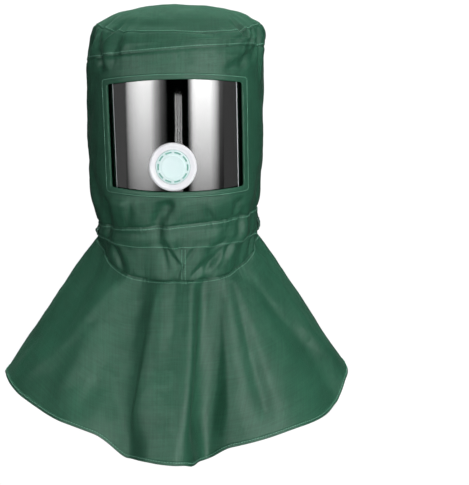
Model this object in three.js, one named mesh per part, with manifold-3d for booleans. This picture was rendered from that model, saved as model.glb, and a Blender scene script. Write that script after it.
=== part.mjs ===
// A sandblasting hood: a soft coated-cloth hood with a domed crown, a curved see-through
// window with a round breathing valve, a two-band collar and a flared shoulder cape.
// Millimetres, +Z up. The face looks along -Y, and the wearer's left is +X. The origin is
// where the top of the head touches the inside of the crown.
import * as THREE from "three";
import { mergeVertices } from "three/addons/utils/BufferGeometryUtils.js";
import Module from "manifold-3d";

const wasm = await Module();
wasm.setup();

const DEGREE = Math.PI / 180;

// Cloth and clearances
const CLOTH = 1.6; // wall of the coated cloth
const GAP = 0.3; // clearance between neighbouring pieces
const HEM_FOLD = 0.7; // how far the folded hem stands out on each face
const HEM_WIDTH = 9; // width of the folded hem

// The head: reach of the cloth from the upright axis, and the height of each panel
const HEAD_HALF_WIDTH = 122.5;
const HEAD_FRONT = 135;
const HEAD_BACK = 131;
const DOME_HEIGHT = 24; // crown panel, at its sides
const CROWN_BAND = 41;
const HEAD_PANEL = 219;
const UPPER_COLLAR = 22;
const FLAP_LAP = 6; // how far the upper collar band laps over the lower one
const LOWER_COLLAR = 5; // below the flap at the sides, it deepens to the front
const SIDE_SEAM_ANGLE = 104; // azimuth of the seams between the front and the back panel
const DOME_POWER = 3.2; // exponent of the crown panel's fall, its middle is flat
const DOME_LEAN = 2.5; // how much fuller the crown is on the wearer's left

// The cape
const CAPE_DROP = 256; // from the sides of the collar to the lowest point of the hem
const CAPE_HALF_WIDTH = 249.5; // reach of the hem from the axis
const CAPE_FRONT = 214;
const CAPE_BACK = 222;
const CAPE_SQUARE = 2.05;
const CAPE_SPREAD = 0.96; // exponent of the flare, under 1 where it spreads early

// The window, its binding and its two sheets
const WINDOW_WIDTH = 173;
const WINDOW_HEIGHT = 134;
const WINDOW_BELOW_BROW = 40; // from the brow seam to the window's upper corners
const WINDOW_RISE = 3; // how much higher its upper edge stands on the wearer's left
const WINDOW_ARCH = 4; // how far the upper and lower edges bow outwards
const WINDOW_CORNER = 5;
const WINDOW_LEAN = 1.2; // degrees that the opening leans to the wearer's left
const FLAT_MARGIN = 3.2; // flat cloth above and below the laps of the inner sheet
const STIFF_FADE = 14; // distance over which the cloth softens beside the visor
const BINDING = 1.1;
const BINDING_WIDTH = 7;
const SHEET = 1.2; // inner sheet, sewn in behind the cloth
const SHEET_LAP = 10; // how far it reaches behind the cloth
const FILM = 0.6; // outer film, tucked in above and below
const FILM_LAP = 6;
const FILM_INSET = 7; // its sides stop this far inside the opening
const VISOR_SET_BACK = 1.7; // of the film behind the inside of the cloth
const VISOR_SQUARE = 2.25; // exponent of the visor's section, as the cloth's round it
const VISOR_SPAN = 70; // azimuth beyond the visor's upright edges

// The breathing valve
const VALVE_RADIUS = 30.5;
const VALVE_STAND = 8; // how far its face stands in front of the film
const VALVE_EDGE = 3; // width of the flange's rounded edge
const VALVE_DISH = 0.75; // how far the flange dips beside the cover
const VALVE_OFF_CENTRE = -5;
const VALVE_ABOVE_SILL = 28.5; // its centre above the window's lower corners
const SPIGOT_RADIUS = 23;
const SPIGOT_WALL = 6.8; // it carries the cover and closes its slots behind
const SPIGOT_REACH = 11; // how far the spigot stands behind the visor
const COVER_RADIUS = 21.4;
const COVER = 3;
const COVER_PROUD = 0.8; // how far the cover stands out of the body
const COVER_CHAMFER = 0.8;
const COVER_BOSS = 0.5; // how far the disc inside the slots stands out
const SLOT_COUNT = 10;
const SLOT_RING = 18.6; // radius of the ring of slots
const SLOT_WIDTH = 2;
const SLOT_SPAN = 25; // degrees
const SLOT_TURN = -17; // azimuth of the first slot, from straight up
const RING_WIDTH = 5.5; // retaining ring behind the visor
const RING_DEPTH = 8;
const VALVE_SEGMENTS = 28; // flats round the valve

// Stations along the surface, from the apex down. A whole number is a seam.
const APEX = 0;
const RIM = 1;
const BROW = 2;
const WAIST = 3;
const JOIN = 4;
const FLAP = 5;
const NECK = 6;
const HEM = 7;
const FLAT_TOP = 2.14; // where the flat cloth round the visor starts
const PANEL_MIDDLE = 2.5;
const FLAT_FOOT = 2.86;
const GATHER_GROWTH = 1.6; // the collar's gathers are full at 1 / 1.6 of the way down it
const FOLD_GROWTH = 0.9; // exponent of a cape fold's growth towards the hem
const LIFT_START = 0.25; // the upper collar band leaves the plain surface over this span
const LIFT_LENGTH = 0.6;

// The loops at the sides of the collar
const LOOP_STAND = 1.2; // how far the loop bows off the band
const LOOP_AZIMUTH = 66; // azimuth of its front edge
const LOOP_TOP = WAIST + 1 / 2; // stations of its ends
const LOOP_FOOT = JOIN;
const LOOP_ENDS = 0.15; // share of its length that is sewn down at each end
const LOOP_RISE = 0.2; // share of its length over which it bows off the band

const RIM_Z = CLOTH - DOME_HEIGHT;
const BROW_Z = RIM_Z - CROWN_BAND;
const WAIST_Z = BROW_Z - HEAD_PANEL;
const JOIN_Z = WAIST_Z - UPPER_COLLAR;
const FLAP_Z = JOIN_Z - FLAP_LAP;
const NECK_Z = FLAP_Z - LOWER_COLLAR;
const WINDOW_TOP = BROW_Z - WINDOW_BELOW_BROW;
const WINDOW_SILL = WINDOW_TOP - WINDOW_HEIGHT;
const WINDOW_MIDDLE = (WINDOW_TOP + WINDOW_SILL) / 2;

// A table's rows under the names of its columns.
const table = (columns, rows) =>
  rows.map((row) => Object.fromEntries(columns.map((name, i) => [name, row[i]])));

// Sections of the head and collar. z is the height at the sides, wide, front and back are
// shares of the head's reaches, square is the section's exponent, dip and rear are how far
// the front and the back hang below the sides as shares of HEAD_FRONT, tilt is how far the
// left of the hood hangs below its right and shift its drift to the right, as shares of
// HEAD_HALF_WIDTH.
const SECTIONS = table(
  ["at", "z", "wide", "front", "back", "square", "dip", "rear", "tilt", "shift"],
  [
    [RIM, RIM_Z, 0.935, 0.88, 0.9, 2.3, 0.14, 0.04, 0.01, 0.03],
    [1.35, RIM_Z - 0.36 * CROWN_BAND, 0.985, 0.94, 0.955, 2.3, 0.09, 0.02, 0.03, 0.024],
    [BROW, BROW_Z, 1.008, 0.985, 0.985, 2.27, 0, 0, 0.085, 0.004],
    [FLAT_TOP, WINDOW_TOP + SHEET_LAP + FLAT_MARGIN, 1, 1, 1, VISOR_SQUARE, 0, 0, 0.05, 0],
    [PANEL_MIDDLE, WINDOW_MIDDLE, 1, 1, 1, VISOR_SQUARE, 0, 0, 0.01, 0],
    [FLAT_FOOT, WINDOW_SILL - SHEET_LAP - FLAT_MARGIN, 0.99, 1, 0.97, VISOR_SQUARE, 0.01, 0, 0.02, 0],
    [WAIST, WAIST_Z, 0.93, 0.94, 0.9, 2.2, 0.02, 0, 0.08, 0.014],
    [3.5, WAIST_Z - 0.5 * UPPER_COLLAR, 0.928, 0.925, 0.875, 2.15, 0.03, 0.02, 0.05, 0.016],
    [JOIN, JOIN_Z, 0.93, 0.905, 0.87, 2.15, 0.035, 0.04, 0.02, 0.012],
    [FLAP, FLAP_Z, 0.93, 0.895, 0.87, 2.15, 0.05, 0.05, 0.01, 0.01],
    [NECK, NECK_Z, 0.93, 0.865, 0.9, 2.1, 0.33, 0.15, 0, 0.008],
  ],
);

// Dents and creases of the head. azimuth is in degrees, drop is the share of the way from
// the crown's rim to the waist seam, long and wide are half-lengths and depth is inwards,
// all as shares of HEAD_HALF_WIDTH. lean turns the crease clockwise from upright, in degrees.
const DENTS = [
  { name: "leftTempleHollow", azimuth: -72, drop: 0.1, long: 0.2, wide: 0.12, lean: 20, depth: 0.055 },
  { name: "leftCornerPinch", azimuth: -58, drop: 0.035, long: 0.16, wide: 0.07, lean: -35, depth: 0.04 },
  { name: "rightTempleHollow", azimuth: 62, drop: 0.065, long: 0.13, wide: 0.12, lean: 0, depth: 0.06 },
  { name: "rightBrowCrease", azimuth: 54, drop: 0.15, long: 0.24, wide: 0.055, lean: 38, depth: 0.05 },
  { name: "rightSideCrease", azimuth: 78, drop: 0.17, long: 0.2, wide: 0.06, lean: 30, depth: 0.035 },
  { name: "browSwell", azimuth: -20, drop: 0.06, long: 0.12, wide: 0.4, lean: 0, depth: -0.025 },
  { name: "browHollow", azimuth: 25, drop: 0.105, long: 0.07, wide: 0.3, lean: 8, depth: 0.022 },
  { name: "chinValley", azimuth: -8, drop: 0.925, long: 0.22, wide: 0.1, lean: 22, depth: 0.035 },
  { name: "chinSwell", azimuth: -32, drop: 0.93, long: 0.3, wide: 0.16, lean: -12, depth: -0.025 },
  { name: "leftJawHollow", azimuth: -56, drop: 0.9, long: 0.3, wide: 0.12, lean: -18, depth: 0.04 },
  { name: "rightJawHollow", azimuth: 60, drop: 0.93, long: 0.3, wide: 0.11, lean: 15, depth: 0.035 },
  { name: "rightJawSlack", azimuth: 92, drop: 0.84, long: 0.24, wide: 0.4, lean: 0, depth: 0.04 },
  { name: "leftJawSwell", azimuth: -92, drop: 0.8, long: 0.25, wide: 0.35, lean: 0, depth: -0.012 },
  { name: "rightCheekFold", azimuth: 84, drop: 0.6, long: 0.4, wide: 0.07, lean: -6, depth: 0.03 },
  { name: "backHollow", azimuth: 165, drop: 0.55, long: 0.7, wide: 0.2, lean: 8, depth: 0.04 },
  { name: "backCrease", azimuth: -140, drop: 0.7, long: 0.5, wide: 0.12, lean: -14, depth: 0.04 },
  { name: "backRightCrease", azimuth: 130, drop: 0.82, long: 0.35, wide: 0.1, lean: 20, depth: 0.035 },
];

// Gathers of the collar. neck and waist are azimuths in degrees at the two edges of the
// collar, wide is a half-width in degrees and depth a share of HEAD_HALF_WIDTH.
const GATHERS = [
  { neck: -66, waist: -58, wide: 7, depth: 0.04 },
  { neck: -24, waist: -16, wide: 7, depth: 0.03 },
  { neck: -2, waist: 2, wide: 4, depth: 0.028 },
  { neck: 18, waist: 34, wide: 5, depth: 0.032 },
  { neck: 44, waist: 60, wide: 6, depth: 0.034 },
  { neck: 74, waist: 80, wide: 6, depth: 0.04 },
  { neck: 128, waist: 118, wide: 8, depth: 0.035 },
  { neck: 176, waist: 170, wide: 9, depth: 0.04 },
  { neck: -138, waist: -128, wide: 8, depth: 0.035 },
  { neck: -102, waist: -106, wide: 9, depth: 0.02 },
];

// Folds of the cape. neck and hem are the azimuths of the fold's floor in degrees, left and
// right are its half-widths in degrees at the collar, depth is a share of CAPE_HALF_WIDTH and
// negative for a ridge, and start is the share of the cape's drop where the fold opens.
const FOLDS = [
  { name: "leftValley", neck: -17, hem: -20, left: 20, right: 6.5, depth: 0.1, start: 0 },
  { name: "frontRidge", neck: -2, hem: -4, left: 13, right: 9, depth: -0.04, start: 0 },
  { name: "rightValley", neck: 27, hem: 11.5, left: 9, right: 7, depth: 0.17, start: 0 },
  { name: "rightSoftValley", neck: 38, hem: 31, left: 7, right: 8, depth: 0.045, start: 0.25 },
  { name: "rightShoulderFold", neck: 58, hem: 66, left: 10, right: 8, depth: 0.035, start: 0.02 },
  { name: "leftShoulderFold", neck: -62, hem: -52, left: 9, right: 9, depth: 0.025, start: 0.2 },
  { name: "backRightValley", neck: 128, hem: 124, left: 14, right: 14, depth: 0.12, start: 0.05 },
  { name: "backValley", neck: 172, hem: 176, left: 13, right: 13, depth: 0.13, start: 0.05 },
  { name: "backLeftValley", neck: -130, hem: -132, left: 14, right: 14, depth: 0.12, start: 0.05 },
];

// The hem's line. drop is how far it hangs below the sides of the collar at an azimuth, as
// a share of CAPE_DROP.
const HEM_LINE = [
  { azimuth: -180, drop: 0.95 },
  { azimuth: -150, drop: 0.91 },
  { azimuth: -120, drop: 0.83 },
  { azimuth: -90, drop: 0.765 },
  { azimuth: -75, drop: 0.738 },
  { azimuth: -60, drop: 0.785 },
  { azimuth: -50, drop: 0.825 },
  { azimuth: -40, drop: 0.845 },
  { azimuth: -32, drop: 0.892 },
  { azimuth: -20, drop: 1.015 },
  { azimuth: -10, drop: 0.988 },
  { azimuth: 0, drop: 1.0 },
  { azimuth: 10, drop: 1.065 },
  { azimuth: 20, drop: 0.988 },
  { azimuth: 32, drop: 0.945 },
  { azimuth: 45, drop: 0.915 },
  { azimuth: 60, drop: 0.91 },
  { azimuth: 68, drop: 0.892 },
  { azimuth: 77, drop: 0.79 },
  { azimuth: 90, drop: 0.78 },
  { azimuth: 120, drop: 0.83 },
  { azimuth: 150, drop: 0.91 },
  { azimuth: 180, drop: 0.95 },
];

const clamp = (x, low, high) => Math.min(high, Math.max(low, x));
const mix = (a, b, share) => a + (b - a) * share;
const smooth = (x) => {
  const t = clamp(x, 0, 1);
  return t * t * (3 - 2 * t);
};
const turn = (degrees) => ((((degrees + 180) % 360) + 360) % 360) - 180;
const bell = (x) => Math.exp(-x * x);

// One column of a table at a place along its key: a cubic with no overshoot between rows.
function tableValue(rows, key, column, where) {
  const last = rows.length - 1;
  const u = clamp(where, rows[0][key], rows[last][key]);
  let i = 0;
  while (i < last - 1 && u > rows[i + 1][key]) i += 1;
  const slope = (k) => {
    if (k < 0 || k >= last) return 0;
    return (rows[k + 1][column] - rows[k][column]) / (rows[k + 1][key] - rows[k][key]);
  };
  const tangent = (k) => {
    const before = slope(k - 1);
    const after = slope(k);
    return before * after > 0 ? (2 * before * after) / (before + after) : 0;
  };
  const span = rows[i + 1][key] - rows[i][key];
  const t = (u - rows[i][key]) / span;
  return (
    mix(rows[i][column], rows[i + 1][column], t * t * (3 - 2 * t)) +
    tangent(i) * span * t * (1 - t) * (1 - t) -
    tangent(i + 1) * span * t * t * (1 - t)
  );
}
const section = (column, station) => tableValue(SECTIONS, "at", column, station);

// Distance from the axis to a rounded section, in the direction of an azimuth.
function reach(azimuth, side, front, back, square) {
  const s = Math.abs(Math.sin(azimuth * DEGREE)) / side;
  const c = Math.cos(azimuth * DEGREE);
  return (s ** square + (Math.abs(c) / (c > 0 ? front : back)) ** square) ** (-1 / square);
}

function place(azimuth, radius, z, shift = 0) {
  const a = azimuth * DEGREE;
  return new THREE.Vector3(radius * Math.sin(a) + shift, -radius * Math.cos(a), z);
}

// Height of a level of the head at an azimuth: the front and the back hang, and it tilts.
function levelHeight(azimuth, station) {
  const across = Math.sin(azimuth * DEGREE);
  const ahead = Math.cos(azimuth * DEGREE) > 0;
  const hang = section(ahead ? "dip" : "rear", station) * (1 - across ** 4);
  const tilt = section("tilt", station) * HEAD_HALF_WIDTH * across;
  return section("z", station) - hang * HEAD_FRONT + tilt;
}

// 0 where the visor holds the cloth flat, and 1 where the cloth is soft.
function softness(azimuth, z) {
  const across = Math.abs(turn(azimuth)) < 90 ? Math.sin(turn(azimuth) * DEGREE) : 1;
  const aside = Math.abs(across) * HEAD_FRONT - WINDOW_WIDTH / 2 - SHEET_LAP;
  const above = z - WINDOW_TOP - SHEET_LAP;
  const below = WINDOW_SILL - SHEET_LAP - z;
  return smooth(Math.hypot(Math.max(aside, 0), Math.max(above, below, 0)) / STIFF_FADE);
}

function dentDepth(azimuth, z) {
  let depth = 0;
  for (const dent of DENTS) {
    const across = turn(azimuth - dent.azimuth) * DEGREE * HEAD_HALF_WIDTH;
    const up = z - mix(RIM_Z, WAIST_Z, dent.drop);
    const lean = dent.lean * DEGREE;
    const along = (up * Math.cos(lean) + across * Math.sin(lean)) / (dent.long * HEAD_HALF_WIDTH);
    const aside = (across * Math.cos(lean) - up * Math.sin(lean)) / (dent.wide * HEAD_HALF_WIDTH);
    depth += dent.depth * HEAD_HALF_WIDTH * bell(along) * bell(aside);
  }
  return depth * softness(azimuth, z);
}

function gatherDepth(azimuth, station) {
  const down = (station - WAIST) / (NECK - WAIST);
  const strength = smooth(down * GATHER_GROWTH) * smooth((HEM - station) / (HEM - NECK));
  let depth = 0;
  for (const gather of GATHERS) {
    const centre = mix(gather.waist, gather.neck, clamp(down, 0, 1));
    depth += gather.depth * HEAD_HALF_WIDTH * bell(turn(azimuth - centre) / gather.wide);
  }
  return depth * strength;
}

// The azimuth at the hem of the fold line that leaves the collar at an azimuth.
function hemAzimuth(azimuth) {
  const lines = FOLDS.map((fold) => ({ neck: fold.neck, swing: turn(fold.hem - fold.neck) }));
  lines.sort((p, q) => p.neck - q.neck);
  const first = lines[0];
  const last = lines[lines.length - 1];
  lines.unshift({ ...last, neck: last.neck - 360 });
  lines.push({ ...first, neck: first.neck + 360 });
  return azimuth + tableValue(lines, "neck", "swing", turn(azimuth));
}

// How far the cape lies inside its plain flare, from the valleys less the ridges.
function foldDepth(azimuth, share) {
  let depth = 0;
  for (const fold of FOLDS) {
    const off = turn(azimuth - fold.neck);
    const half = off < 0 ? fold.left : fold.right;
    const growth = clamp((share - fold.start) / (1 - fold.start), 0, 1) ** FOLD_GROWTH;
    depth += fold.depth * CAPE_HALF_WIDTH * bell(off / half) * growth;
  }
  return depth;
}

function headPoint(azimuth, station) {
  const z = levelHeight(azimuth, station);
  const radius = reach(
    azimuth,
    section("wide", station) * HEAD_HALF_WIDTH,
    section("front", station) * HEAD_FRONT,
    section("back", station) * HEAD_BACK,
    section("square", station),
  );
  const dents = dentDepth(azimuth, z) + gatherDepth(azimuth, station);
  return place(azimuth, radius - dents, z, section("shift", station) * HEAD_HALF_WIDTH);
}

// The crown: a low dome from the apex to the rim seam, fuller on the wearer's left
function crownPoint(azimuth, station) {
  const share = station / RIM;
  const rim = headPoint(azimuth, RIM);
  const lean = 4 * DOME_LEAN * share * share * (1 - share) * Math.sin(azimuth * DEGREE);
  const height = mix(CLOTH, rim.z, share ** DOME_POWER) + lean;
  return new THREE.Vector3(rim.x * share, rim.y * share, height);
}

// The cape: straight down its flare from the collar seam to the hem's line, less the folds.
// An azimuth names the fold line that leaves the collar there, and the line swings with it.
function capePoint(azimuth, station) {
  const share = (station - NECK) / (HEM - NECK);
  const top = headPoint(azimuth, NECK);
  const end = hemAzimuth(azimuth);
  const flare = reach(end, CAPE_HALF_WIDTH, CAPE_FRONT, CAPE_BACK, CAPE_SQUARE);
  const from = Math.hypot(top.x, top.y);
  const swing = turn(end - azimuth) * DEGREE * share;
  const radius = mix(from, flare, share ** CAPE_SPREAD) - foldDepth(azimuth, share);
  const along = top.clone().setZ(0).multiplyScalar(radius / from);
  const hem = NECK_Z - CAPE_DROP * tableValue(HEM_LINE, "azimuth", "drop", turn(end));
  return along.applyAxisAngle(new THREE.Vector3(0, 0, 1), swing).setZ(mix(top.z, hem, share));
}

function hoodPoint(azimuth, station) {
  if (station < RIM) return crownPoint(azimuth, station);
  if (station > NECK) return capePoint(azimuth, station);
  return headPoint(azimuth, station);
}

// The visor: an upright sheet that bends one way only, a distance behind the film's face.
function visorPoint(azimuth, z, setBack) {
  const inset = CLOTH + VISOR_SET_BACK + setBack;
  const front = HEAD_FRONT - inset;
  return place(azimuth, reach(azimuth, HEAD_HALF_WIDTH - inset, front, front, VISOR_SQUARE), z);
}

// Outward normal by differences over about a millimetre on each side, so that two pieces
// that meet at a seam share one mitred edge.
function outward(azimuth, station) {
  const here = hoodPoint(azimuth, station);
  const round = hoodPoint(azimuth + 0.5, station).sub(hoodPoint(azimuth - 0.5, station));
  if (round.length() < 1e-6) return new THREE.Vector3(0, 0, 1);
  const normal = new THREE.Vector3();
  for (const way of [-1, 1]) {
    const beside = station + way * alongSurface(azimuth, station, way, 1);
    if (beside < APEX || beside > HEM) continue;
    const down = hoodPoint(azimuth, beside).sub(here).multiplyScalar(way);
    normal.add(down.cross(round).normalize());
  }
  return normal.normalize();
}

// The step in stations that covers a distance down (way 1) or up (way -1) the surface.
function alongSurface(azimuth, station, way, distance) {
  const step = 0.01;
  const from = clamp(station, APEX + 2 * step, HEM - 2 * step);
  const length = hoodPoint(azimuth, from + way * step).distanceTo(hoodPoint(azimuth, from));
  return (distance * step) / length;
}

// Columns crowd towards the front, where the folds are finest.
const COLUMNS = 60;
const FRONT_CROWDING = 0.36;
const RING = Array.from({ length: COLUMNS }, (_, i) => {
  const a = -180 + (360 * i) / COLUMNS;
  return a - (FRONT_CROWDING / DEGREE) * Math.sin(a * DEGREE);
});
function spaced(from, to, count) {
  return Array.from({ length: count + 1 }, (_, i) => mix(from, to, i / count));
}

// A wall of cloth between two stations or two azimuths, its edges half a gap short of each
// seam. lift moves it outwards and thick is its thickness, both by station.
function clothWall({ azimuths, levels, closed = true, lift = () => 0, thick = () => CLOTH }) {
  const columns = azimuths.length;
  const rows = levels.length;
  const capped = levels[0] === APEX;
  const points = [];
  const index = [];
  const trimmed = (azimuth, row) => {
    const level = levels[row];
    if (row === 0 && !capped) return level + alongSurface(azimuth, level, 1, GAP / 2);
    if (row === rows - 1 && level < HEM) return level - alongSurface(azimuth, level, -1, GAP / 2);
    return level;
  };
  for (const side of [0, 1]) {
    levels.forEach((level, row) => {
      for (const azimuth of azimuths) {
        const out = lift(level) - side * thick(level);
        const point = hoodPoint(azimuth, trimmed(azimuth, row));
        point.addScaledVector(outward(azimuth, level), out);
        points.push(point.x, point.y, point.z);
      }
    });
  }
  const at = (side, row, column) => (side * rows + row) * columns + (column % columns);
  const quad = (a, b, c, d) => index.push(a, b, c, a, c, d);
  const last = closed ? columns : columns - 1;
  for (let r = 0; r < rows - 1; r += 1) {
    for (let c = 0; c < last; c += 1) {
      if (capped && r === 0) {
        index.push(at(0, 0, 0), at(0, 1, c), at(0, 1, c + 1));
        index.push(at(1, 0, 0), at(1, 1, c + 1), at(1, 1, c));
        continue;
      }
      quad(at(0, r, c), at(0, r + 1, c), at(0, r + 1, c + 1), at(0, r, c + 1));
      quad(at(1, r, c), at(1, r, c + 1), at(1, r + 1, c + 1), at(1, r + 1, c));
    }
    if (!closed) {
      quad(at(0, r, 0), at(1, r, 0), at(1, r + 1, 0), at(0, r + 1, 0));
      quad(at(0, r, last), at(0, r + 1, last), at(1, r + 1, last), at(1, r, last));
    }
  }
  for (let c = 0; c < last; c += 1) {
    if (!capped) quad(at(0, 0, c), at(0, 0, c + 1), at(1, 0, c + 1), at(1, 0, c));
    const end = rows - 1;
    quad(at(0, end, c), at(1, end, c), at(1, end, c + 1), at(0, end, c + 1));
  }
  const geometry = new THREE.BufferGeometry();
  geometry.setAttribute("position", new THREE.Float32BufferAttribute(points, 3));
  geometry.setIndex(index);
  return geometry;
}

// Booleans
function toSolid(geometry) {
  const bare = geometry.clone();
  for (const name of Object.keys(bare.attributes)) {
    if (name !== "position") bare.deleteAttribute(name);
  }
  const merged = mergeVertices(bare, 1e-4);
  return new wasm.Manifold(
    new wasm.Mesh({
      numProp: 3,
      vertProperties: merged.attributes.position.array,
      triVerts: new Uint32Array(merged.index.array),
    }),
  );
}
function toGeometry(solid) {
  const mesh = solid.getMesh();
  const geometry = new THREE.BufferGeometry();
  geometry.setAttribute("position", new THREE.BufferAttribute(mesh.vertProperties, 3));
  geometry.setIndex(new THREE.BufferAttribute(mesh.triVerts, 1));
  return geometry;
}

// The window's outline as a prism along Y, grown sideways and upwards.
function windowPrism(growSide, growUp) {
  const lean = Math.tan(WINDOW_LEAN * DEGREE);
  const half = WINDOW_WIDTH / 2 + growSide;
  const top = WINDOW_TOP + growUp;
  const sill = WINDOW_SILL - growUp;
  const rise = WINDOW_RISE / WINDOW_WIDTH;
  const leaned = (x, z) => [x - (z - WINDOW_MIDDLE) * lean, z + (z > WINDOW_MIDDLE ? x * rise : 0)];
  const round = WINDOW_CORNER;
  const outline = new THREE.Shape();
  outline.moveTo(...leaned(-half + round, sill));
  outline.quadraticCurveTo(...leaned(0, sill - 2 * WINDOW_ARCH), ...leaned(half - round, sill));
  outline.quadraticCurveTo(...leaned(half, sill), ...leaned(half, sill + round));
  outline.lineTo(...leaned(half, top - round));
  outline.quadraticCurveTo(...leaned(half, top), ...leaned(half - round, top));
  outline.quadraticCurveTo(...leaned(0, top + 2 * WINDOW_ARCH), ...leaned(-half + round, top));
  outline.quadraticCurveTo(...leaned(-half, top), ...leaned(-half, top - round));
  outline.lineTo(...leaned(-half, sill + round));
  outline.quadraticCurveTo(...leaned(-half, sill), ...leaned(-half + round, sill));
  const prism = new THREE.ExtrudeGeometry(outline, {
    depth: HEAD_FRONT,
    bevelEnabled: false,
    curveSegments: 8,
  });
  return toSolid(prism.rotateX(90 * DEGREE).translate(0, -HEAD_FRONT / 4, 0));
}

const group = new THREE.Group();
const greenCloth = new THREE.MeshStandardMaterial({ color: 0x2c5a44, roughness: 0.55 });
const clearSheet = new THREE.MeshStandardMaterial({
  color: 0x8c9296,
  roughness: 0.08,
  transparent: true,
  opacity: 0.4,
});
const whitePlastic = new THREE.MeshStandardMaterial({ color: 0xf1eef1, roughness: 0.35 });
const mintPlastic = new THREE.MeshStandardMaterial({ color: 0xdff6f5, roughness: 0.45 });

function add(name, geometry, material) {
  const mesh = new THREE.Mesh(geometry, material);
  mesh.name = name;
  group.add(mesh);
}

// The crown panel and the band below it
const CROWN_ROWS = [APEX, 0.42, 0.7, 0.88, RIM];
function addCrown() {
  const panel = clothWall({ azimuths: RING, levels: CROWN_ROWS });
  add("crown_panel", panel, greenCloth);
  add("crown_band", clothWall({ azimuths: RING, levels: spaced(RIM, BROW, 2) }), greenCloth);
}

// The front panel with the window cut out of it, and the plain back panel
const HEAD_ROWS = [
  BROW,
  mix(BROW, FLAT_TOP, 0.5),
  ...spaced(FLAT_TOP, FLAT_FOOT, 4),
  mix(FLAT_FOOT, WAIST, 0.5),
  WAIST,
];
const FIRST_COLUMN = 2; // degrees from a side seam to the nearest column
function addHead() {
  const trim = GAP / 2 / (HEAD_HALF_WIDTH * DEGREE);
  const edge = SIDE_SEAM_ANGLE - trim;
  const isAhead = (azimuth) => Math.abs(turn(azimuth)) < SIDE_SEAM_ANGLE - FIRST_COLUMN;
  const isBehind = (azimuth) => Math.abs(turn(azimuth)) > SIDE_SEAM_ANGLE + FIRST_COLUMN;
  const front = clothWall({
    azimuths: [-edge, ...RING.filter(isAhead), edge],
    levels: HEAD_ROWS,
    closed: false,
  });
  add("head_front", toGeometry(toSolid(front).subtract(windowPrism(0, 0))), greenCloth);
  const rear = SIDE_SEAM_ANGLE + trim;
  const round = RING.map((azimuth) => (azimuth + 360) % 360).sort((p, q) => p - q);
  const back = clothWall({
    azimuths: [rear, ...round.filter(isBehind), 360 - rear],
    levels: HEAD_ROWS,
    closed: false,
  });
  add("head_back", back, greenCloth);
}

// The binding: a strip of cloth on the face of the front panel, all round the window
function addBinding() {
  const strip = clothWall({
    azimuths: RING.filter((azimuth) => Math.abs(azimuth) < VISOR_SPAN),
    levels: HEAD_ROWS.slice(1, -1),
    closed: false,
    lift: () => GAP + BINDING,
    thick: () => BINDING,
  });
  const frame = toSolid(strip)
    .intersect(windowPrism(BINDING_WIDTH, BINDING_WIDTH))
    .subtract(windowPrism(-0.5 * BINDING, -0.5 * BINDING));
  add("window_binding", toGeometry(frame), greenCloth);
}

const VALVE_Z = WINDOW_SILL + VALVE_ABOVE_SILL;
const FILM_FACE = visorPoint(0, 0, 0).y;

// A round solid about the valve's axis, which points along -Y. A profile is a list of
// [radius, distance in front of the film].
function turned(profile) {
  const points = profile.map(([radius, out]) => new THREE.Vector2(radius, out));
  const lathe = new THREE.LatheGeometry(points, VALVE_SEGMENTS);
  return toSolid(lathe.rotateX(180 * DEGREE).translate(VALVE_OFF_CENTRE, FILM_FACE, VALVE_Z));
}

// Everything behind an upright sheet's face, as a solid, to cut what seats on the visor.
function behindSheet(setBack) {
  const outline = new THREE.Shape();
  const front = RING.filter((azimuth) => Math.abs(azimuth) < VISOR_SPAN);
  const arc = front.map((azimuth) => visorPoint(azimuth, 0, setBack));
  outline.moveTo(arc[0].x, arc[0].y);
  for (const point of arc.slice(1)) outline.lineTo(point.x, point.y);
  outline.lineTo(arc[0].x, arc[0].y);
  const tall = 4 * VALVE_RADIUS;
  const slab = new THREE.ExtrudeGeometry(outline, { depth: tall, bevelEnabled: false });
  return toSolid(slab.translate(0, 0, VALVE_Z - tall / 2));
}

function addVisor() {
  const bore = SPIGOT_RADIUS + GAP;
  const hole = turned([[0, -bore], [bore, -bore], [bore, bore], [0, bore]]);
  const film = uprightSheet(0, FILM)
    .intersect(windowPrism(-FILM_INSET, FILM_LAP))
    .subtract(hole);
  add("visor_film", toGeometry(film), clearSheet);
  const sheet = uprightSheet(FILM + GAP, SHEET)
    .intersect(windowPrism(SHEET_LAP, SHEET_LAP))
    .subtract(hole);
  add("visor_sheet", toGeometry(sheet), clearSheet);
}

// An upright sheet over the whole front, cut to its outline afterwards.
function uprightSheet(setBack, thickness) {
  const azimuths = RING.filter((azimuth) => Math.abs(azimuth) < VISOR_SPAN);
  const face = azimuths.map((azimuth) => visorPoint(azimuth, 0, setBack));
  const rear = azimuths.map((azimuth) => visorPoint(azimuth, 0, setBack + thickness)).reverse();
  const outline = new THREE.Shape();
  outline.moveTo(face[0].x, face[0].y);
  for (const point of [...face.slice(1), ...rear]) outline.lineTo(point.x, point.y);
  const tall = WINDOW_HEIGHT + 4 * SHEET_LAP;
  const sheet = new THREE.ExtrudeGeometry(outline, { depth: tall, bevelEnabled: false });
  return toSolid(sheet.translate(0, 0, WINDOW_MIDDLE - tall / 2));
}

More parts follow.
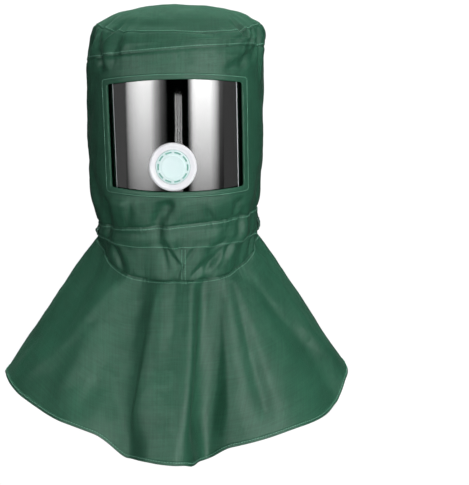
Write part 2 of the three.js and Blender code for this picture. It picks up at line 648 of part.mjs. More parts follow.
// The valve: a white body through the visor, a slotted cover and a ring that holds it
function addValve() {
  const recess = COVER_RADIUS + GAP;
  const floor = VALVE_STAND - COVER + COVER_PROUD - GAP;
  const behind = -(FILM + SHEET + GAP + SPIGOT_REACH);
  const bore = SPIGOT_RADIUS - SPIGOT_WALL;
  const deep = -VALVE_RADIUS / 2;
  const corner = 0.3 * VALVE_EDGE;
  const dish = VALVE_STAND - VALVE_DISH;
  const flange = turned([
    [0, deep],
    [VALVE_RADIUS, deep],
    [VALVE_RADIUS, VALVE_STAND - VALVE_EDGE],
    [VALVE_RADIUS - corner, VALVE_STAND - corner],
    [VALVE_RADIUS - VALVE_EDGE, VALVE_STAND],
    [recess + VALVE_EDGE, dish],
    [0, dish],
  ]).subtract(behindSheet(-GAP));
  const spigot = turned([[0, behind], [SPIGOT_RADIUS, behind], [SPIGOT_RADIUS, 1], [0, 1]]);
  const hollow = turned([
    [0, 2 * behind],
    [bore, 2 * behind],
    [bore, floor],
    [recess, floor],
    [recess, 2 * VALVE_STAND],
    [0, 2 * VALVE_STAND],
  ]);
  add("valve_body", toGeometry(flange.add(spigot).subtract(hollow)), whitePlastic);
  addCover(floor + GAP);
  addRing();
}

function addCover(seat) {
  const face = seat + COVER;
  const inside = SLOT_RING - 1.5 * SLOT_WIDTH;
  let cover = turned([
    [0, seat],
    [COVER_RADIUS, seat],
    [COVER_RADIUS, face - COVER_CHAMFER],
    [COVER_RADIUS - COVER_CHAMFER, face],
    [inside, face],
    [inside - COVER_BOSS, face + COVER_BOSS],
    [0, face + COVER_BOSS],
  ]);
  for (let i = 0; i < SLOT_COUNT; i += 1) {
    const azimuth = (SLOT_TURN + (360 * i) / SLOT_COUNT) * DEGREE;
    const slot = slotPrism(seat - COVER, face + COVER).rotateY(azimuth);
    slot.translate(VALVE_OFF_CENTRE, FILM_FACE, VALVE_Z);
    cover = cover.subtract(toSolid(slot));
  }
  add("valve_cover", toGeometry(cover), mintPlastic);
}

// A curved slot at the top of the cover's ring, between two distances in front of the film.
function slotPrism(from, to) {
  const half = (SLOT_SPAN / 2) * DEGREE;
  const up = 90 * DEGREE;
  const outline = new THREE.Shape();
  outline.absarc(0, 0, SLOT_RING + SLOT_WIDTH / 2, up - half, up + half, false);
  outline.absarc(0, 0, SLOT_RING - SLOT_WIDTH / 2, up + half, up - half, true);
  const prism = new THREE.ExtrudeGeometry(outline, {
    depth: to - from,
    bevelEnabled: false,
    curveSegments: 2,
  });
  return prism.translate(0, 0, from).rotateX(90 * DEGREE);
}

// The retaining ring, its front cut to the curve of the inner sheet
function addRing() {
  const seat = FILM + SHEET + 2 * GAP;
  const inner = SPIGOT_RADIUS + GAP;
  const outer = SPIGOT_RADIUS + RING_WIDTH;
  const behind = -(seat + RING_DEPTH);
  const ring = turned([
    [inner, behind],
    [outer, behind],
    [outer, 0],
    [inner, 0],
    [inner, behind],
  ]).intersect(behindSheet(seat));
  add("valve_ring", toGeometry(ring), whitePlastic);
}

// The collar: an upper band whose lower edge laps over the lower band
const bandLift = (station) =>
  (CLOTH + 2 * GAP) * smooth((station - WAIST - LIFT_START) / LIFT_LENGTH);
function addCollar() {
  const upper = clothWall({
    azimuths: RING,
    levels: [...spaced(WAIST, JOIN, 2), FLAP],
    lift: bandLift,
  });
  add("collar_upper_band", upper, greenCloth);
  const lower = clothWall({ azimuths: RING, levels: [JOIN, ...spaced(FLAP, NECK, 2)] });
  add("collar_lower_band", lower, greenCloth);
}

// The cape, its hem folded up and sewn down as a thicker band
function addCape() {
  const hemStart = HEM - HEM_WIDTH / CAPE_DROP;
  const hemStep = 2 * (HEM_FOLD / CAPE_DROP);
  const swell = (station) => (station < hemStart ? 0 : HEM_FOLD);
  const cape = clothWall({
    azimuths: RING,
    levels: [...spaced(NECK, HEM - 0.2, 4), hemStart - hemStep, hemStart, HEM],
    lift: swell,
    thick: (station) => CLOTH + 2 * swell(station),
  });
  add("cape", cape, greenCloth);
}

// A cord loop on each side: a strip of cloth on the upper band, sewn down at both ends
function addLoops() {
  const levels = spaced(LOOP_TOP, LOOP_FOOT, 12);
  const sewn = LOOP_ENDS * (LOOP_FOOT - LOOP_TOP);
  const rise = LOOP_RISE * (LOOP_FOOT - LOOP_TOP);
  const arch = (station) =>
    smooth((station - LOOP_TOP - sewn) / rise) * smooth((LOOP_FOOT - sewn - station) / rise);
  for (const [name, side] of [["cord_loop_left", -1], ["cord_loop_right", 1]]) {
    const beyond = RING.filter((azimuth) => azimuth * side > LOOP_AZIMUTH);
    const pair = beyond.sort((p, q) => Math.abs(p) - Math.abs(q)).slice(0, 2);
    const strip = clothWall({
      azimuths: pair.sort((p, q) => p - q),
      levels,
      closed: false,
      lift: (station) => bandLift(station) + 2 * GAP + CLOTH + LOOP_STAND * arch(station),
    });
    add(name, strip, greenCloth);
  }
}

addCrown();
addHead();
addBinding();
addVisor();
addValve();
addCollar();
addLoops();
addCape();

export default group;
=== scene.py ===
"""Looks of a sandblasting hood: a soft green coated-cloth hood with a domed crown, a curved
see-through window with a round breathing valve, a two-band collar and a flared cape.

Lengths are millimetres until a mesh is made. +Z is up, the face looks along -Y, and the
wearer's left is +X."""
import math

import bmesh
import bpy
import numpy as np
from mathutils import Matrix, Vector


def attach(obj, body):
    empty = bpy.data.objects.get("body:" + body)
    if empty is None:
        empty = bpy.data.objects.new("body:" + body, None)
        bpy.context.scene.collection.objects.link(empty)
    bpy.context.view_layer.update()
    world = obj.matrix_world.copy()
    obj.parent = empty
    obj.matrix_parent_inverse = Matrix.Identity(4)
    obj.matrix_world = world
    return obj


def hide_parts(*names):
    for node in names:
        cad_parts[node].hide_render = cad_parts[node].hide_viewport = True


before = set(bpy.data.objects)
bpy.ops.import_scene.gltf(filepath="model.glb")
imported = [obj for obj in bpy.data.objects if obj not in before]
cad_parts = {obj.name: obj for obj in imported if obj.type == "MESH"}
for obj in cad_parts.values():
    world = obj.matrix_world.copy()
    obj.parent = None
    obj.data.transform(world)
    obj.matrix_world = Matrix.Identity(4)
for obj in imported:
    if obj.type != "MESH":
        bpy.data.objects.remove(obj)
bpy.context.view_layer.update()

MM = 0.001
DEGREE = math.pi / 180

# Cloth and clearances
CLOTH = 1.6
GAP = 0.3
HEM_FOLD = 0.7

# The head
HEAD_HALF_WIDTH = 122.5
HEAD_FRONT = 135
HEAD_BACK = 131
DOME_HEIGHT = 24
CROWN_BAND = 41
HEAD_PANEL = 219
UPPER_COLLAR = 22
FLAP_LAP = 6
LOWER_COLLAR = 5
SIDE_SEAM = 104

# The cape
CAPE_DROP = 256
CAPE_HALF_WIDTH = 249.5
CAPE_FRONT = 214
CAPE_BACK = 222
CAPE_SQUARE = 2.05
CAPE_SPREAD = 0.96

# The window, its binding and its two sheets
WINDOW_WIDTH = 173
WINDOW_HEIGHT = 134
WINDOW_BELOW_BROW = 40
WINDOW_RISE = 3
WINDOW_ARCH = 4
WINDOW_CORNER = 5
WINDOW_LEAN = 1.2
FLAT_MARGIN = 3.2
BINDING = 1.1
BINDING_WIDTH = 7
SHEET = 1.2
SHEET_LAP = 10
FILM = 0.6
FILM_LAP = 6
FILM_INSET = 7
VISOR_SET_BACK = 1.7
VISOR_SQUARE = 2.25

# The breathing valve
VALVE_RADIUS = 30.5
VALVE_STAND = 8
VALVE_OFF_CENTRE = -5
VALVE_ABOVE_SILL = 28.5
SPIGOT_RADIUS = 23
SPIGOT_WALL = 6.8
SPIGOT_REACH = 11
COVER_RADIUS = 21.4
COVER = 3
COVER_PROUD = 0.8
SLOT_COUNT = 10
SLOT_RING = 18.6
SLOT_WIDTH = 2
SLOT_SPAN = 25
SLOT_TURN = -17
RING_WIDTH = 5.5
RING_DEPTH = 8

# Stations along the surface, from the apex down. A whole number is a seam.
APEX, RIM, BROW, WAIST, JOIN, FLAP, NECK, HEM = range(8)

# The cord loops at the collar's sides
LOOP_STAND = 1.2
LOOP_AZIMUTH = 66
LOOP_TOP = WAIST + 0.5
LOOP_FOOT = JOIN
LOOP_ENDS = 0.15

# Heights of the seams and the window
RIM_Z = CLOTH - DOME_HEIGHT
BROW_Z = RIM_Z - CROWN_BAND
WAIST_Z = BROW_Z - HEAD_PANEL
JOIN_Z = WAIST_Z - UPPER_COLLAR
FLAP_Z = JOIN_Z - FLAP_LAP
NECK_Z = FLAP_Z - LOWER_COLLAR
WINDOW_TOP = BROW_Z - WINDOW_BELOW_BROW
WINDOW_SILL = WINDOW_TOP - WINDOW_HEIGHT
WINDOW_MIDDLE = (WINDOW_TOP + WINDOW_SILL) / 2
VALVE_Z = WINDOW_SILL + VALVE_ABOVE_SILL


def named(columns, rows):
    """A table's rows as dicts under their column names."""
    names = columns.split()
    return [dict(zip(names, row)) for row in rows]


# Sections of the head and collar. at is the station, wide, front and back are shares of the
# head's reaches, square is 2 for an ellipse and more for a boxier outline. dip and rear are
# how far its front and back hang, tilt how far its left side rises and shift how far it moves
# to the left, as shares of the head's reaches too.
SECTIONS = named("at z wide front back square dip rear tilt shift", [
    (RIM, RIM_Z, 0.935, 0.88, 0.9, 2.3, 0.14, 0.04, 0.01, 0.03),
    (1.35, RIM_Z - 0.36 * CROWN_BAND, 0.985, 0.94, 0.955, 2.3, 0.09, 0.02, 0.03, 0.024),
    (BROW, BROW_Z, 1.008, 0.985, 0.985, 2.27, 0, 0, 0.085, 0.004),
    (2.14, WINDOW_TOP + SHEET_LAP + FLAT_MARGIN, 1, 1, 1, 2.25, 0, 0, 0.05, 0),
    (2.5, WINDOW_MIDDLE, 1, 1, 1, 2.25, 0, 0, 0.01, 0),
    (2.86, WINDOW_SILL - SHEET_LAP - FLAT_MARGIN, 0.99, 1, 0.97, 2.25, 0.01, 0, 0.02, 0),
    (WAIST, WAIST_Z, 0.93, 0.94, 0.9, 2.2, 0.02, 0, 0.08, 0.014),
    (3.5, WAIST_Z - 0.5 * UPPER_COLLAR, 0.928, 0.925, 0.875, 2.15, 0.03, 0.02, 0.05, 0.016),
    (JOIN, JOIN_Z, 0.93, 0.905, 0.87, 2.15, 0.035, 0.04, 0.02, 0.012),
    (FLAP, FLAP_Z, 0.93, 0.895, 0.87, 2.15, 0.05, 0.05, 0.01, 0.01),
    (NECK, NECK_Z, 0.93, 0.865, 0.9, 2.1, 0.33, 0.15, 0, 0.008),
])

# Dents of the head. drop is the place down it from the rim to the waist, and long, wide and
# depth are shares of HEAD_HALF_WIDTH. A depth below 0 is a swelling.
DENTS = named("azimuth drop long wide lean depth", [
    (-72, 0.1, 0.2, 0.12, 20, 0.055),
    (-58, 0.035, 0.16, 0.07, -35, 0.04),
    (62, 0.065, 0.13, 0.12, 0, 0.06),
    (54, 0.15, 0.24, 0.055, 38, 0.05),
    (78, 0.17, 0.2, 0.06, 30, 0.035),
    (-20, 0.06, 0.12, 0.4, 0, -0.025),
    (25, 0.105, 0.07, 0.3, 8, 0.022),
    (-8, 0.925, 0.22, 0.1, 22, 0.035),
    (-32, 0.93, 0.3, 0.16, -12, -0.025),
    (-56, 0.9, 0.3, 0.12, -18, 0.04),
    (60, 0.93, 0.3, 0.11, 15, 0.035),
    (92, 0.84, 0.24, 0.4, 0, 0.04),
    (-92, 0.8, 0.25, 0.35, 0, -0.012),
    (84, 0.6, 0.4, 0.07, -6, 0.03),
    (165, 0.55, 0.7, 0.2, 8, 0.04),
    (-140, 0.7, 0.5, 0.12, -14, 0.04),
    (130, 0.82, 0.35, 0.1, 20, 0.035),
])

# Gathers of the collar, by their azimuths at the neck and the waist
GATHERS = named("neck waist wide depth", [
    (-66, -58, 7, 0.04),
    (-24, -16, 7, 0.03),
    (-2, 2, 4, 0.028),
    (18, 34, 5, 0.032),
    (44, 60, 6, 0.034),
    (74, 80, 6, 0.04),
    (128, 118, 8, 0.035),
    (176, 170, 9, 0.04),
    (-138, -128, 8, 0.035),
    (-102, -106, 9, 0.02),
])

# Folds of the cape. neck and hem are the azimuths of a fold's line at its ends, left and right
# its half-widths in degrees, depth a share of CAPE_HALF_WIDTH, and it starts at a share of the
# way down.
FOLDS = named("neck hem left right depth start", [
    (-17, -20, 20, 6.5, 0.1, 0),
    (-2, -4, 13, 9, -0.04, 0),
    (27, 11.5, 9, 7, 0.17, 0),
    (38, 31, 7, 8, 0.045, 0.25),
    (58, 66, 10, 8, 0.035, 0.02),
    (-62, -52, 9, 9, 0.025, 0.2),
    (128, 124, 14, 14, 0.12, 0.05),
    (172, 176, 13, 13, 0.13, 0.05),
    (-130, -132, 14, 14, 0.12, 0.05),
])

# The hem's drop round the cape, as shares of CAPE_DROP
HEM_LINE = named("azimuth drop", [
    (-180, 0.95),
    (-150, 0.91),
    (-120, 0.83),
    (-90, 0.765),
    (-75, 0.738),
    (-60, 0.785),
    (-50, 0.825),
    (-40, 0.845),
    (-32, 0.892),
    (-20, 1.015),
    (-10, 0.988),
    (0, 1.0),
    (10, 1.065),
    (20, 0.988),
    (32, 0.945),
    (45, 0.915),
    (60, 0.91),
    (68, 0.892),
    (77, 0.79),
    (90, 0.78),
    (120, 0.83),
    (150, 0.91),
    (180, 0.95),
])


def mix(a, b, share):
    return a + (b - a) * share


def smooth(x):
    t = np.clip(x, 0, 1)
    return t * t * (3 - 2 * t)


def turn(degrees):
    return (np.asarray(degrees, float) + 180) % 360 - 180


def bell(x):
    return np.exp(-np.square(x))


def table_value(rows, key, column, where):
    """One column of a table at places along its key: a cubic with no overshoot."""
    keys = np.array([row[key] for row in rows], float)
    values = np.array([row[column] for row in rows], float)
    span = np.diff(keys)
    slope = np.diff(values) / span
    before = np.concatenate([[0], slope])
    after = np.concatenate([slope, [0]])
    product = before * after
    tangent = np.where(product > 0, 2 * product / np.where(product > 0, before + after, 1), 0)
    u = np.clip(where, keys[0], keys[-1])
    i = np.clip(np.searchsorted(keys, u, side="right") - 1, 0, len(span) - 1)
    t = (u - keys[i]) / span[i]
    return (
        mix(values[i], values[i + 1], t * t * (3 - 2 * t))
        + tangent[i] * span[i] * t * (1 - t) ** 2
        - tangent[i + 1] * span[i] * t * t * (1 - t)
    )


def section(column, station):
    return table_value(SECTIONS, "at", column, station)


def reach(azimuth, side, front, back, square):
    """Distance from the axis to a rounded section, in the direction of an azimuth."""
    s = np.abs(np.sin(azimuth * DEGREE)) / side
    c = np.cos(azimuth * DEGREE)
    return (s**square + (np.abs(c) / np.where(c > 0, front, back)) ** square) ** (-1 / square)


def place(azimuth, radius, z, shift=0.0):
    a = azimuth * DEGREE
    return np.stack(
        np.broadcast_arrays(radius * np.sin(a) + shift, -radius * np.cos(a), z), axis=-1
    )


def level_height(azimuth, station):
    across = np.sin(azimuth * DEGREE)
    ahead = np.cos(azimuth * DEGREE) > 0
    hang = np.where(ahead, section("dip", station), section("rear", station))
    tilt = section("tilt", station) * HEAD_HALF_WIDTH * across
    return section("z", station) - hang * (1 - across**4) * HEAD_FRONT + tilt


def leaning(across, up, lean):
    """Places along and beside a line that leans clockwise from upright, in degrees."""
    c, s = math.cos(lean * DEGREE), math.sin(lean * DEGREE)
    return up * c + across * s, across * c - up * s


STIFF_FADE = 14


def softness(azimuth, z):
    """0 where the visor holds the cloth flat, and 1 away from it."""
    a = turn(azimuth)
    across = np.where(np.abs(a) < 90, np.abs(np.sin(a * DEGREE)), 1)
    aside = across * HEAD_FRONT - WINDOW_WIDTH / 2 - SHEET_LAP
    above = z - WINDOW_TOP - SHEET_LAP
    below = WINDOW_SILL - SHEET_LAP - z
    away = np.hypot(np.maximum(aside, 0), np.maximum(np.maximum(above, below), 0))
    return smooth(away / STIFF_FADE)


def dent_depth(azimuth, z):
    depth = 0
    for dent in DENTS:
        across = turn(azimuth - dent["azimuth"]) * DEGREE * HEAD_HALF_WIDTH
        up = z - mix(RIM_Z, WAIST_Z, dent["drop"])
        along, aside = leaning(across / HEAD_HALF_WIDTH, up / HEAD_HALF_WIDTH, dent["lean"])
        shape = bell(along / dent["long"]) * bell(aside / dent["wide"])
        depth = depth + dent["depth"] * HEAD_HALF_WIDTH * shape
    return depth * softness(azimuth, z)


GATHER_GROWTH = 1.6


def gather_depth(azimuth, station):
    down = (station - WAIST) / (NECK - WAIST)
    strength = smooth(down * GATHER_GROWTH) * smooth((HEM - station) / (HEM - NECK))
    depth = 0
    for gather in GATHERS:
        centre = mix(gather["waist"], gather["neck"], np.clip(down, 0, 1))
        shape = bell(turn(azimuth - centre) / gather["wide"])
        depth = depth + gather["depth"] * HEAD_HALF_WIDTH * shape
    return depth * strength


def hem_azimuth(azimuth):
    """The azimuth at the hem of the fold line that leaves the collar at an azimuth."""
    lines = [{"neck": f["neck"], "swing": float(turn(f["hem"] - f["neck"]))} for f in FOLDS]
    lines.sort(key=lambda line: line["neck"])
    before = dict(lines[-1], neck=lines[-1]["neck"] - 360)
    after = dict(lines[0], neck=lines[0]["neck"] + 360)
    return azimuth + table_value([before, *lines, after], "neck", "swing", turn(azimuth))


def fold_shape(fold, off, share, growth):
    """A fold's depth off its line, with a half-width of its own on each side."""
    half = np.where(off < 0, fold["left"], fold["right"])
    grown = np.clip((share - fold["start"]) / (1 - fold["start"]), 0, 1) ** growth
    return fold["depth"] * bell(off / half) * grown


FOLD_GROWTH = 0.9


def fold_depth(azimuth, share):
    depth = 0
    for fold in FOLDS:
        depth = depth + fold_shape(fold, turn(azimuth - fold["neck"]), share, FOLD_GROWTH)
    return depth * CAPE_HALF_WIDTH


def head_point(azimuth, station):
    z = level_height(azimuth, station)
    radius = reach(
        azimuth,
        section("wide", station) * HEAD_HALF_WIDTH,
        section("front", station) * HEAD_FRONT,
        section("back", station) * HEAD_BACK,
        section("square", station),
    )
    radius = radius - dent_depth(azimuth, z) - gather_depth(azimuth, station)
    return place(azimuth, radius, z, section("shift", station) * HEAD_HALF_WIDTH)


DOME_POWER = 3.2
DOME_LEAN = 2.5


def crown_point(azimuth, station):
    share = station / RIM
    rim = head_point(azimuth, np.full_like(station, RIM))
    lean = 4 * DOME_LEAN * share * share * (1 - share) * np.sin(azimuth * DEGREE)
    height = mix(CLOTH, rim[..., 2], share**DOME_POWER) + lean
    return np.stack([rim[..., 0] * share, rim[..., 1] * share, height], axis=-1)


def cape_point(azimuth, station):
    share = np.clip((station - NECK) / (HEM - NECK), 0, 1)
    top = head_point(azimuth, np.full_like(station, NECK))
    end = hem_azimuth(azimuth)
    flare = reach(end, CAPE_HALF_WIDTH, CAPE_FRONT, CAPE_BACK, CAPE_SQUARE)
    start = np.hypot(top[..., 0], top[..., 1])
    swing = turn(end - azimuth) * DEGREE * share
    radius = mix(start, flare, share**CAPE_SPREAD) - fold_depth(azimuth, share)
    x = top[..., 0] * radius / start
    y = top[..., 1] * radius / start
    hem = NECK_Z - CAPE_DROP * table_value(HEM_LINE, "azimuth", "drop", turn(end))
    c, s = np.cos(swing), np.sin(swing)
    return np.stack([x * c - y * s, x * s + y * c, mix(top[..., 2], hem, share)], axis=-1)


def hood_point(azimuth, station):
    azimuth, station = np.broadcast_arrays(np.asarray(azimuth, float), np.asarray(station, float))
    point = np.empty(azimuth.shape + (3,))
    for part, where in (
        (crown_point, station < RIM),
        (cape_point, station > NECK),
        (head_point, (station >= RIM) & (station <= NECK)),
    ):
        if where.any():
            point[where] = part(azimuth[where], station[where])
    return point


def unit(v):
    return v / np.maximum(np.linalg.norm(v, axis=-1, keepdims=True), 1e-9)


def along_surface(azimuth, station, way, distance):
    """The step in stations that covers a distance down (way 1) or up (way -1)."""
    step = 0.01
    start = np.clip(station, APEX + 2 * step, HEM - 2 * step)
    gone = hood_point(azimuth, start + way * step) - hood_point(azimuth, start)
    return distance * step / np.maximum(np.linalg.norm(gone, axis=-1), 1e-6)


def outward(azimuth, station):
    """Outward normal by differences over a millimetre, mitred at a seam."""
    here = hood_point(azimuth, station)
    around = hood_point(azimuth + 0.5, station) - hood_point(azimuth - 0.5, station)
    normal = 0
    for way in (-1, 1):
        beside = station + way * along_surface(azimuth, station, way, 1)
        inside = (beside >= APEX) & (beside <= HEM)
        down = (hood_point(azimuth, np.clip(beside, APEX, HEM)) - here) * way
        normal = normal + unit(np.cross(down, around)) * inside[..., None]
    return unit(normal)


# Fine creases of the cloth. azimuth and z are the middle, long and wide half-lengths in
# millimetres, lean turns it clockwise from upright in degrees, depth is inwards.
CREASES = named("azimuth z long wide lean depth", [
    (43, -36, 12, 4, -25, 3.6),
    (50, -46, 16, 4.5, 35, 4.4),
    (40, -44, 12, 3, 70, 1.8),
    (43, -74, 26, 5.5, 48, 5.0),
    (31, -86, 18, 5, 52, 3.2),
    (62, -60, 30, 5, 18, 3.0),
    (78, -44, 24, 5, -12, 3.0),
    (84, -84, 34, 6, 6, 2.0),
    (-35, -52, 15, 7, 4, 3.2),
    (-43, -38, 12, 4, 40, 2.6),
    (-56, -46, 18, 5, -26, 3.0),
    (-47, -78, 26, 6, -16, 4.2),
    (-66, -66, 30, 6, 18, 3.0),
    (-82, -48, 24, 6, 10, 2.4),
    (-10, -56, 40, 5, 82, 1.2),
    (14, -40, 26, 4, 96, 1.4),
    (-70, -120, 34, 6, 10, 2.0),
    (80, -120, 34, 6, 8, 2.0),
    (-84, -170, 46, 7, -6, 2.0),
    (82, -190, 40, 6, -12, 2.4),
    (-76, -225, 34, 6, 16, 2.4),
    (-5, -258, 16, 6.5, 20, 3.6),
    (-12, -278, 16, 7, 26, 4.2),
    (-13, -300, 16, 6, 14, 3.2),
    (-9, -326, 22, 5.5, -8, 3.4),
    (-47, -262, 26, 8, -8, 3.6),
    (-52, -290, 26, 8, 14, 3.6),
    (-44, -332, 20, 7, -30, 3.6),
    (38, -258, 24, 7, 16, 4.0),
    (42, -284, 24, 7, 10, 3.6),
    (33, -322, 14, 5, 34, 2.8),
    (22, -336, 20, 4, 42, 3.4),
    (13, -346, 16, 4, 46, 2.8),
    (-4, -329, 16, 3, -22, 2.6),
    (-1, -334, 12, 2.2, -36, 1.8),
    (6, -330, 14, 2.6, 30, 2.2),
    (1, -345, 12, 2.2, 24, 1.8),
    (18, -272, 12, 4, -30, 1.8),
    (-28, -268, 14, 4, 20, 1.6),
    (60, -320, 24, 6, 30, 3.0),
    (110, -200, 60, 7, 14, 3.0),
    (150, -240, 50, 7, -18, 3.0),
    (-120, -230, 50, 7, 20, 3.0),
    (-165, -150, 60, 8, -10, 2.5),
    (128, -320, 24, 5, 12, 2.6),
    (-150, -320, 24, 5, -14, 2.6),
    (176, -310, 24, 5, 8, 2.4),
])


CREASE_STRENGTH = 1.35
CREASE_RIDGE = 0.4  # a crease throws up a ridge on one side, at this share of its depth
CREASE_RIDGE_AT = 2.1
CREASE_RIDGE_WIDTH = 1.2


def crease_depth(azimuth, z):
    depth = 0
    for crease in CREASES:
        across = turn(azimuth - crease["azimuth"]) * DEGREE * HEAD_HALF_WIDTH
        along, aside = leaning(across, z - crease["z"], crease["lean"])
        aside = aside / crease["wide"]
        ridge = CREASE_RIDGE * bell((aside - CREASE_RIDGE_AT) / CREASE_RIDGE_WIDTH)
        shape = bell(along / crease["long"]) * (bell(aside) - ridge)
        depth = depth + CREASE_STRENGTH * crease["depth"] * shape
    return depth


# Fine folds of the cape, between and beside the large ones, with their depth in millimetres
FINE_FOLDS = named("neck hem left right depth start", [
    (-13, -18.5, 10, 6, -17.0, 0.0),
    (-29, -37, 9, 15, 15.0, 0.0),
    (2, -3, 5, 5, -2.5, 0.05),
    (8.5, 0, 4, 3.2, -9.0, 0.0),
    (17.5, 7, 6, 6, 22.0, 0.0),
    (29.5, 20.5, 3, 6, -6.0, 0.0),
    (36, 34, 4, 3, 7.0, 0.05),
    (47, 78, 6, 3.4, 6.0, 0.02),
    (-41, -68, 5, 4, -5.0, 0.05),
    (-58, -80, 6, 5, 4.0, 0.05),
    (82, 92, 5, 5, 3.0, 0.1),
    (105, 104, 6, 6, 4.0, 0.1),
    (150, 150, 6, 5, 4.0, 0.1),
    (-155, -155, 5, 6, 4.0, 0.1),
    (-105, -104, 6, 6, 4.0, 0.1),
])


FINE_GROWTH = 0.4
HEM_EASE = 0.85
HEM_EASE_FROM = 0.7


def fine_fold_depth(azimuth, share):
    """Depth of the fine folds. They grow from the collar and fade by HEM_EASE at the hem."""
    here = azimuth + turn(hem_azimuth(azimuth) - azimuth) * share
    depth = 0
    for fold in FINE_FOLDS:
        off = turn(here - mix(fold["neck"], fold["hem"], share))
        depth = depth + fold_shape(fold, off, share, FINE_GROWTH)
    return depth * (1 - HEM_EASE * smooth((share - HEM_EASE_FROM) / (1 - HEM_EASE_FROM)))


def waves(points, shortest, longest, count, seed):
    """A smooth seeded unevenness of about -1 to 1, from waves between two lengths."""
    random = np.random.default_rng(seed)
    total = 0
    for _ in range(count):
        way = unit(random.normal(size=3))
        length = shortest * (longest / shortest) ** random.random()
        phase = random.random() * 2 * math.pi
        total = total + np.sin(points @ (way * 2 * math.pi / length) + phase)
    return total / math.sqrt(count)


SEAM_GROOVE = 1.0
SEAM_GROOVE_WIDTH = 2.4
PUCKER = 0.9
PUCKER_REACH = 9
PUCKER_LENGTH = 11
PUCKER_DRIFT = 1.4
PUCKER_DRIFT_LENGTHS = (61, 43, 29)
PUCKER_LEAST = 0.35
PUCKER_UNEVEN_LENGTH = 83


def pucker(around, away, seed):
    """Small pleats that a seam draws in the cloth beside it."""
    random = np.random.default_rng(seed)
    phase = 0
    for length in PUCKER_DRIFT_LENGTHS:
        wander = np.sin(around * 2 * math.pi / length + random.random() * 6)
        phase = phase + PUCKER_DRIFT * wander
    ripple = 0.5 + 0.5 * np.sin(around * 2 * math.pi / PUCKER_LENGTH + phase)
    uneven = 0.5 + 0.5 * np.sin(
        around * 2 * math.pi / PUCKER_UNEVEN_LENGTH + random.random() * 6
    )
    return ripple * mix(PUCKER_LEAST, 1, uneven) * np.exp(-away / PUCKER_REACH)


def seam_relief(around, away, seed):
    groove = SEAM_GROOVE * bell(away / SEAM_GROOVE_WIDTH)
    return -groove - PUCKER * pucker(around, away, seed)


def arc(points, axis):
    """Length along a grid of points from its first row or column."""
    steps = np.linalg.norm(np.diff(points, axis=axis), axis=-1)
    first = np.zeros_like(np.take(steps, [0], axis=axis))
    return np.concatenate([first, np.cumsum(steps, axis=axis)], axis=axis)


def at_lengths(where, lengths, values):
    """The rows of values at places along a line, whose own places are lengths."""
    columns = range(values.shape[-1])
    return np.stack([np.interp(where, lengths, values[:, k]) for k in columns], axis=-1)


def spaced(start, end, count):
    return np.linspace(start, end, count + 1)


FRONT_CROWDING = 0.36


def crowded(count):
    """Azimuths round the hood, closer together in front."""
    a = -180 + 360 * np.arange(count) / count
    return a - FRONT_CROWDING / DEGREE * np.sin(a * DEGREE)


CROWN_DIP = 2.2  # the crown panel sags this much above the front of its seam
CROWN_DIP_UP = 13
CROWN_DIP_WIDTH = 9
CROWN_DIP_SPAN = 75

CREASE_END = 0.06  # creases fade in this many stations above the cape

UNEVEN = named("depth shortest longest count seed", [
    (0.45, 26, 80, 26, 11),
    (0.1, 8, 18, 22, 12),
])


def panel(azimuths, levels, lift=None, thick=None, top=None, foot=None, closed=True):
    """A panel of cloth as a grid: its outside and inside points, normals and lengths.

    top and foot are the seeds of the seams at its two edges, or None at a free edge."""
    azimuth, station = np.meshgrid(azimuths, levels)
    trimmed = station.copy()
    if levels[0] >= RIM:
        trimmed[0] += along_surface(azimuth[0], station[0], 1, GAP / 2)
    if levels[-1] < HEM:
        trimmed[-1] -= along_surface(azimuth[-1], station[-1], -1, GAP / 2)
    base = hood_point(azimuth, trimmed)
    normal = outward(azimuth, station)
    down = arc(base, 0)
    across = arc(base, 1)
    middle = len(azimuths) // 2
    across = across - across[:, middle : middle + 1]
    around = across[len(levels) // 2][None, :]
    relief = 0
    for wave in UNEVEN:
        sizes = [wave[key] for key in ("shortest", "longest", "count", "seed")]
        relief = relief + wave["depth"] * waves(base, *sizes)
    above_cape = smooth((NECK + CREASE_END - station) / CREASE_END)
    relief = relief - crease_depth(azimuth, base[..., 2]) * above_cape
    share = np.clip((station - NECK) / (HEM - NECK), 0, 1)
    if levels[-1] > NECK:
        relief = relief - fine_fold_depth(azimuth, share)
    if levels[-1] == RIM:
        dip = bell((down[-1] - down - CROWN_DIP_UP) / CROWN_DIP_WIDTH)
        relief = relief - CROWN_DIP * dip * bell(turn(azimuth) / CROWN_DIP_SPAN)
    if top is not None:
        relief = relief + seam_relief(around, down, top)
    if foot is not None:
        relief = relief + seam_relief(around, down[-1] - down, foot)
    relief = relief * softness(azimuth, base[..., 2])
    out = relief + (0 if lift is None else lift(station))
    wall = CLOTH if thick is None else thick(station)[..., None]
    outer = base + normal * out[..., None]
    return {
        "azimuth": azimuth,
        "station": station,
        "outer": outer,
        "inner": outer - normal * wall,
        "normal": normal,
        "down": down,
        "across": across,
        "closed": closed,
    }


def signed_volume(points, faces):
    total = 0
    for face in faces:
        if len(face) == 0:
            continue
        corners = points[face]
        for k in range(1, corners.shape[1] - 1):
            total += np.einsum(
                "ij,ij->", corners[:, 0], np.cross(corners[:, k], corners[:, k + 1])
            )
    return total / 6


def add_object(name, data):
    made = bpy.data.objects.new(name, data)
    bpy.context.scene.collection.objects.link(made)
    return made


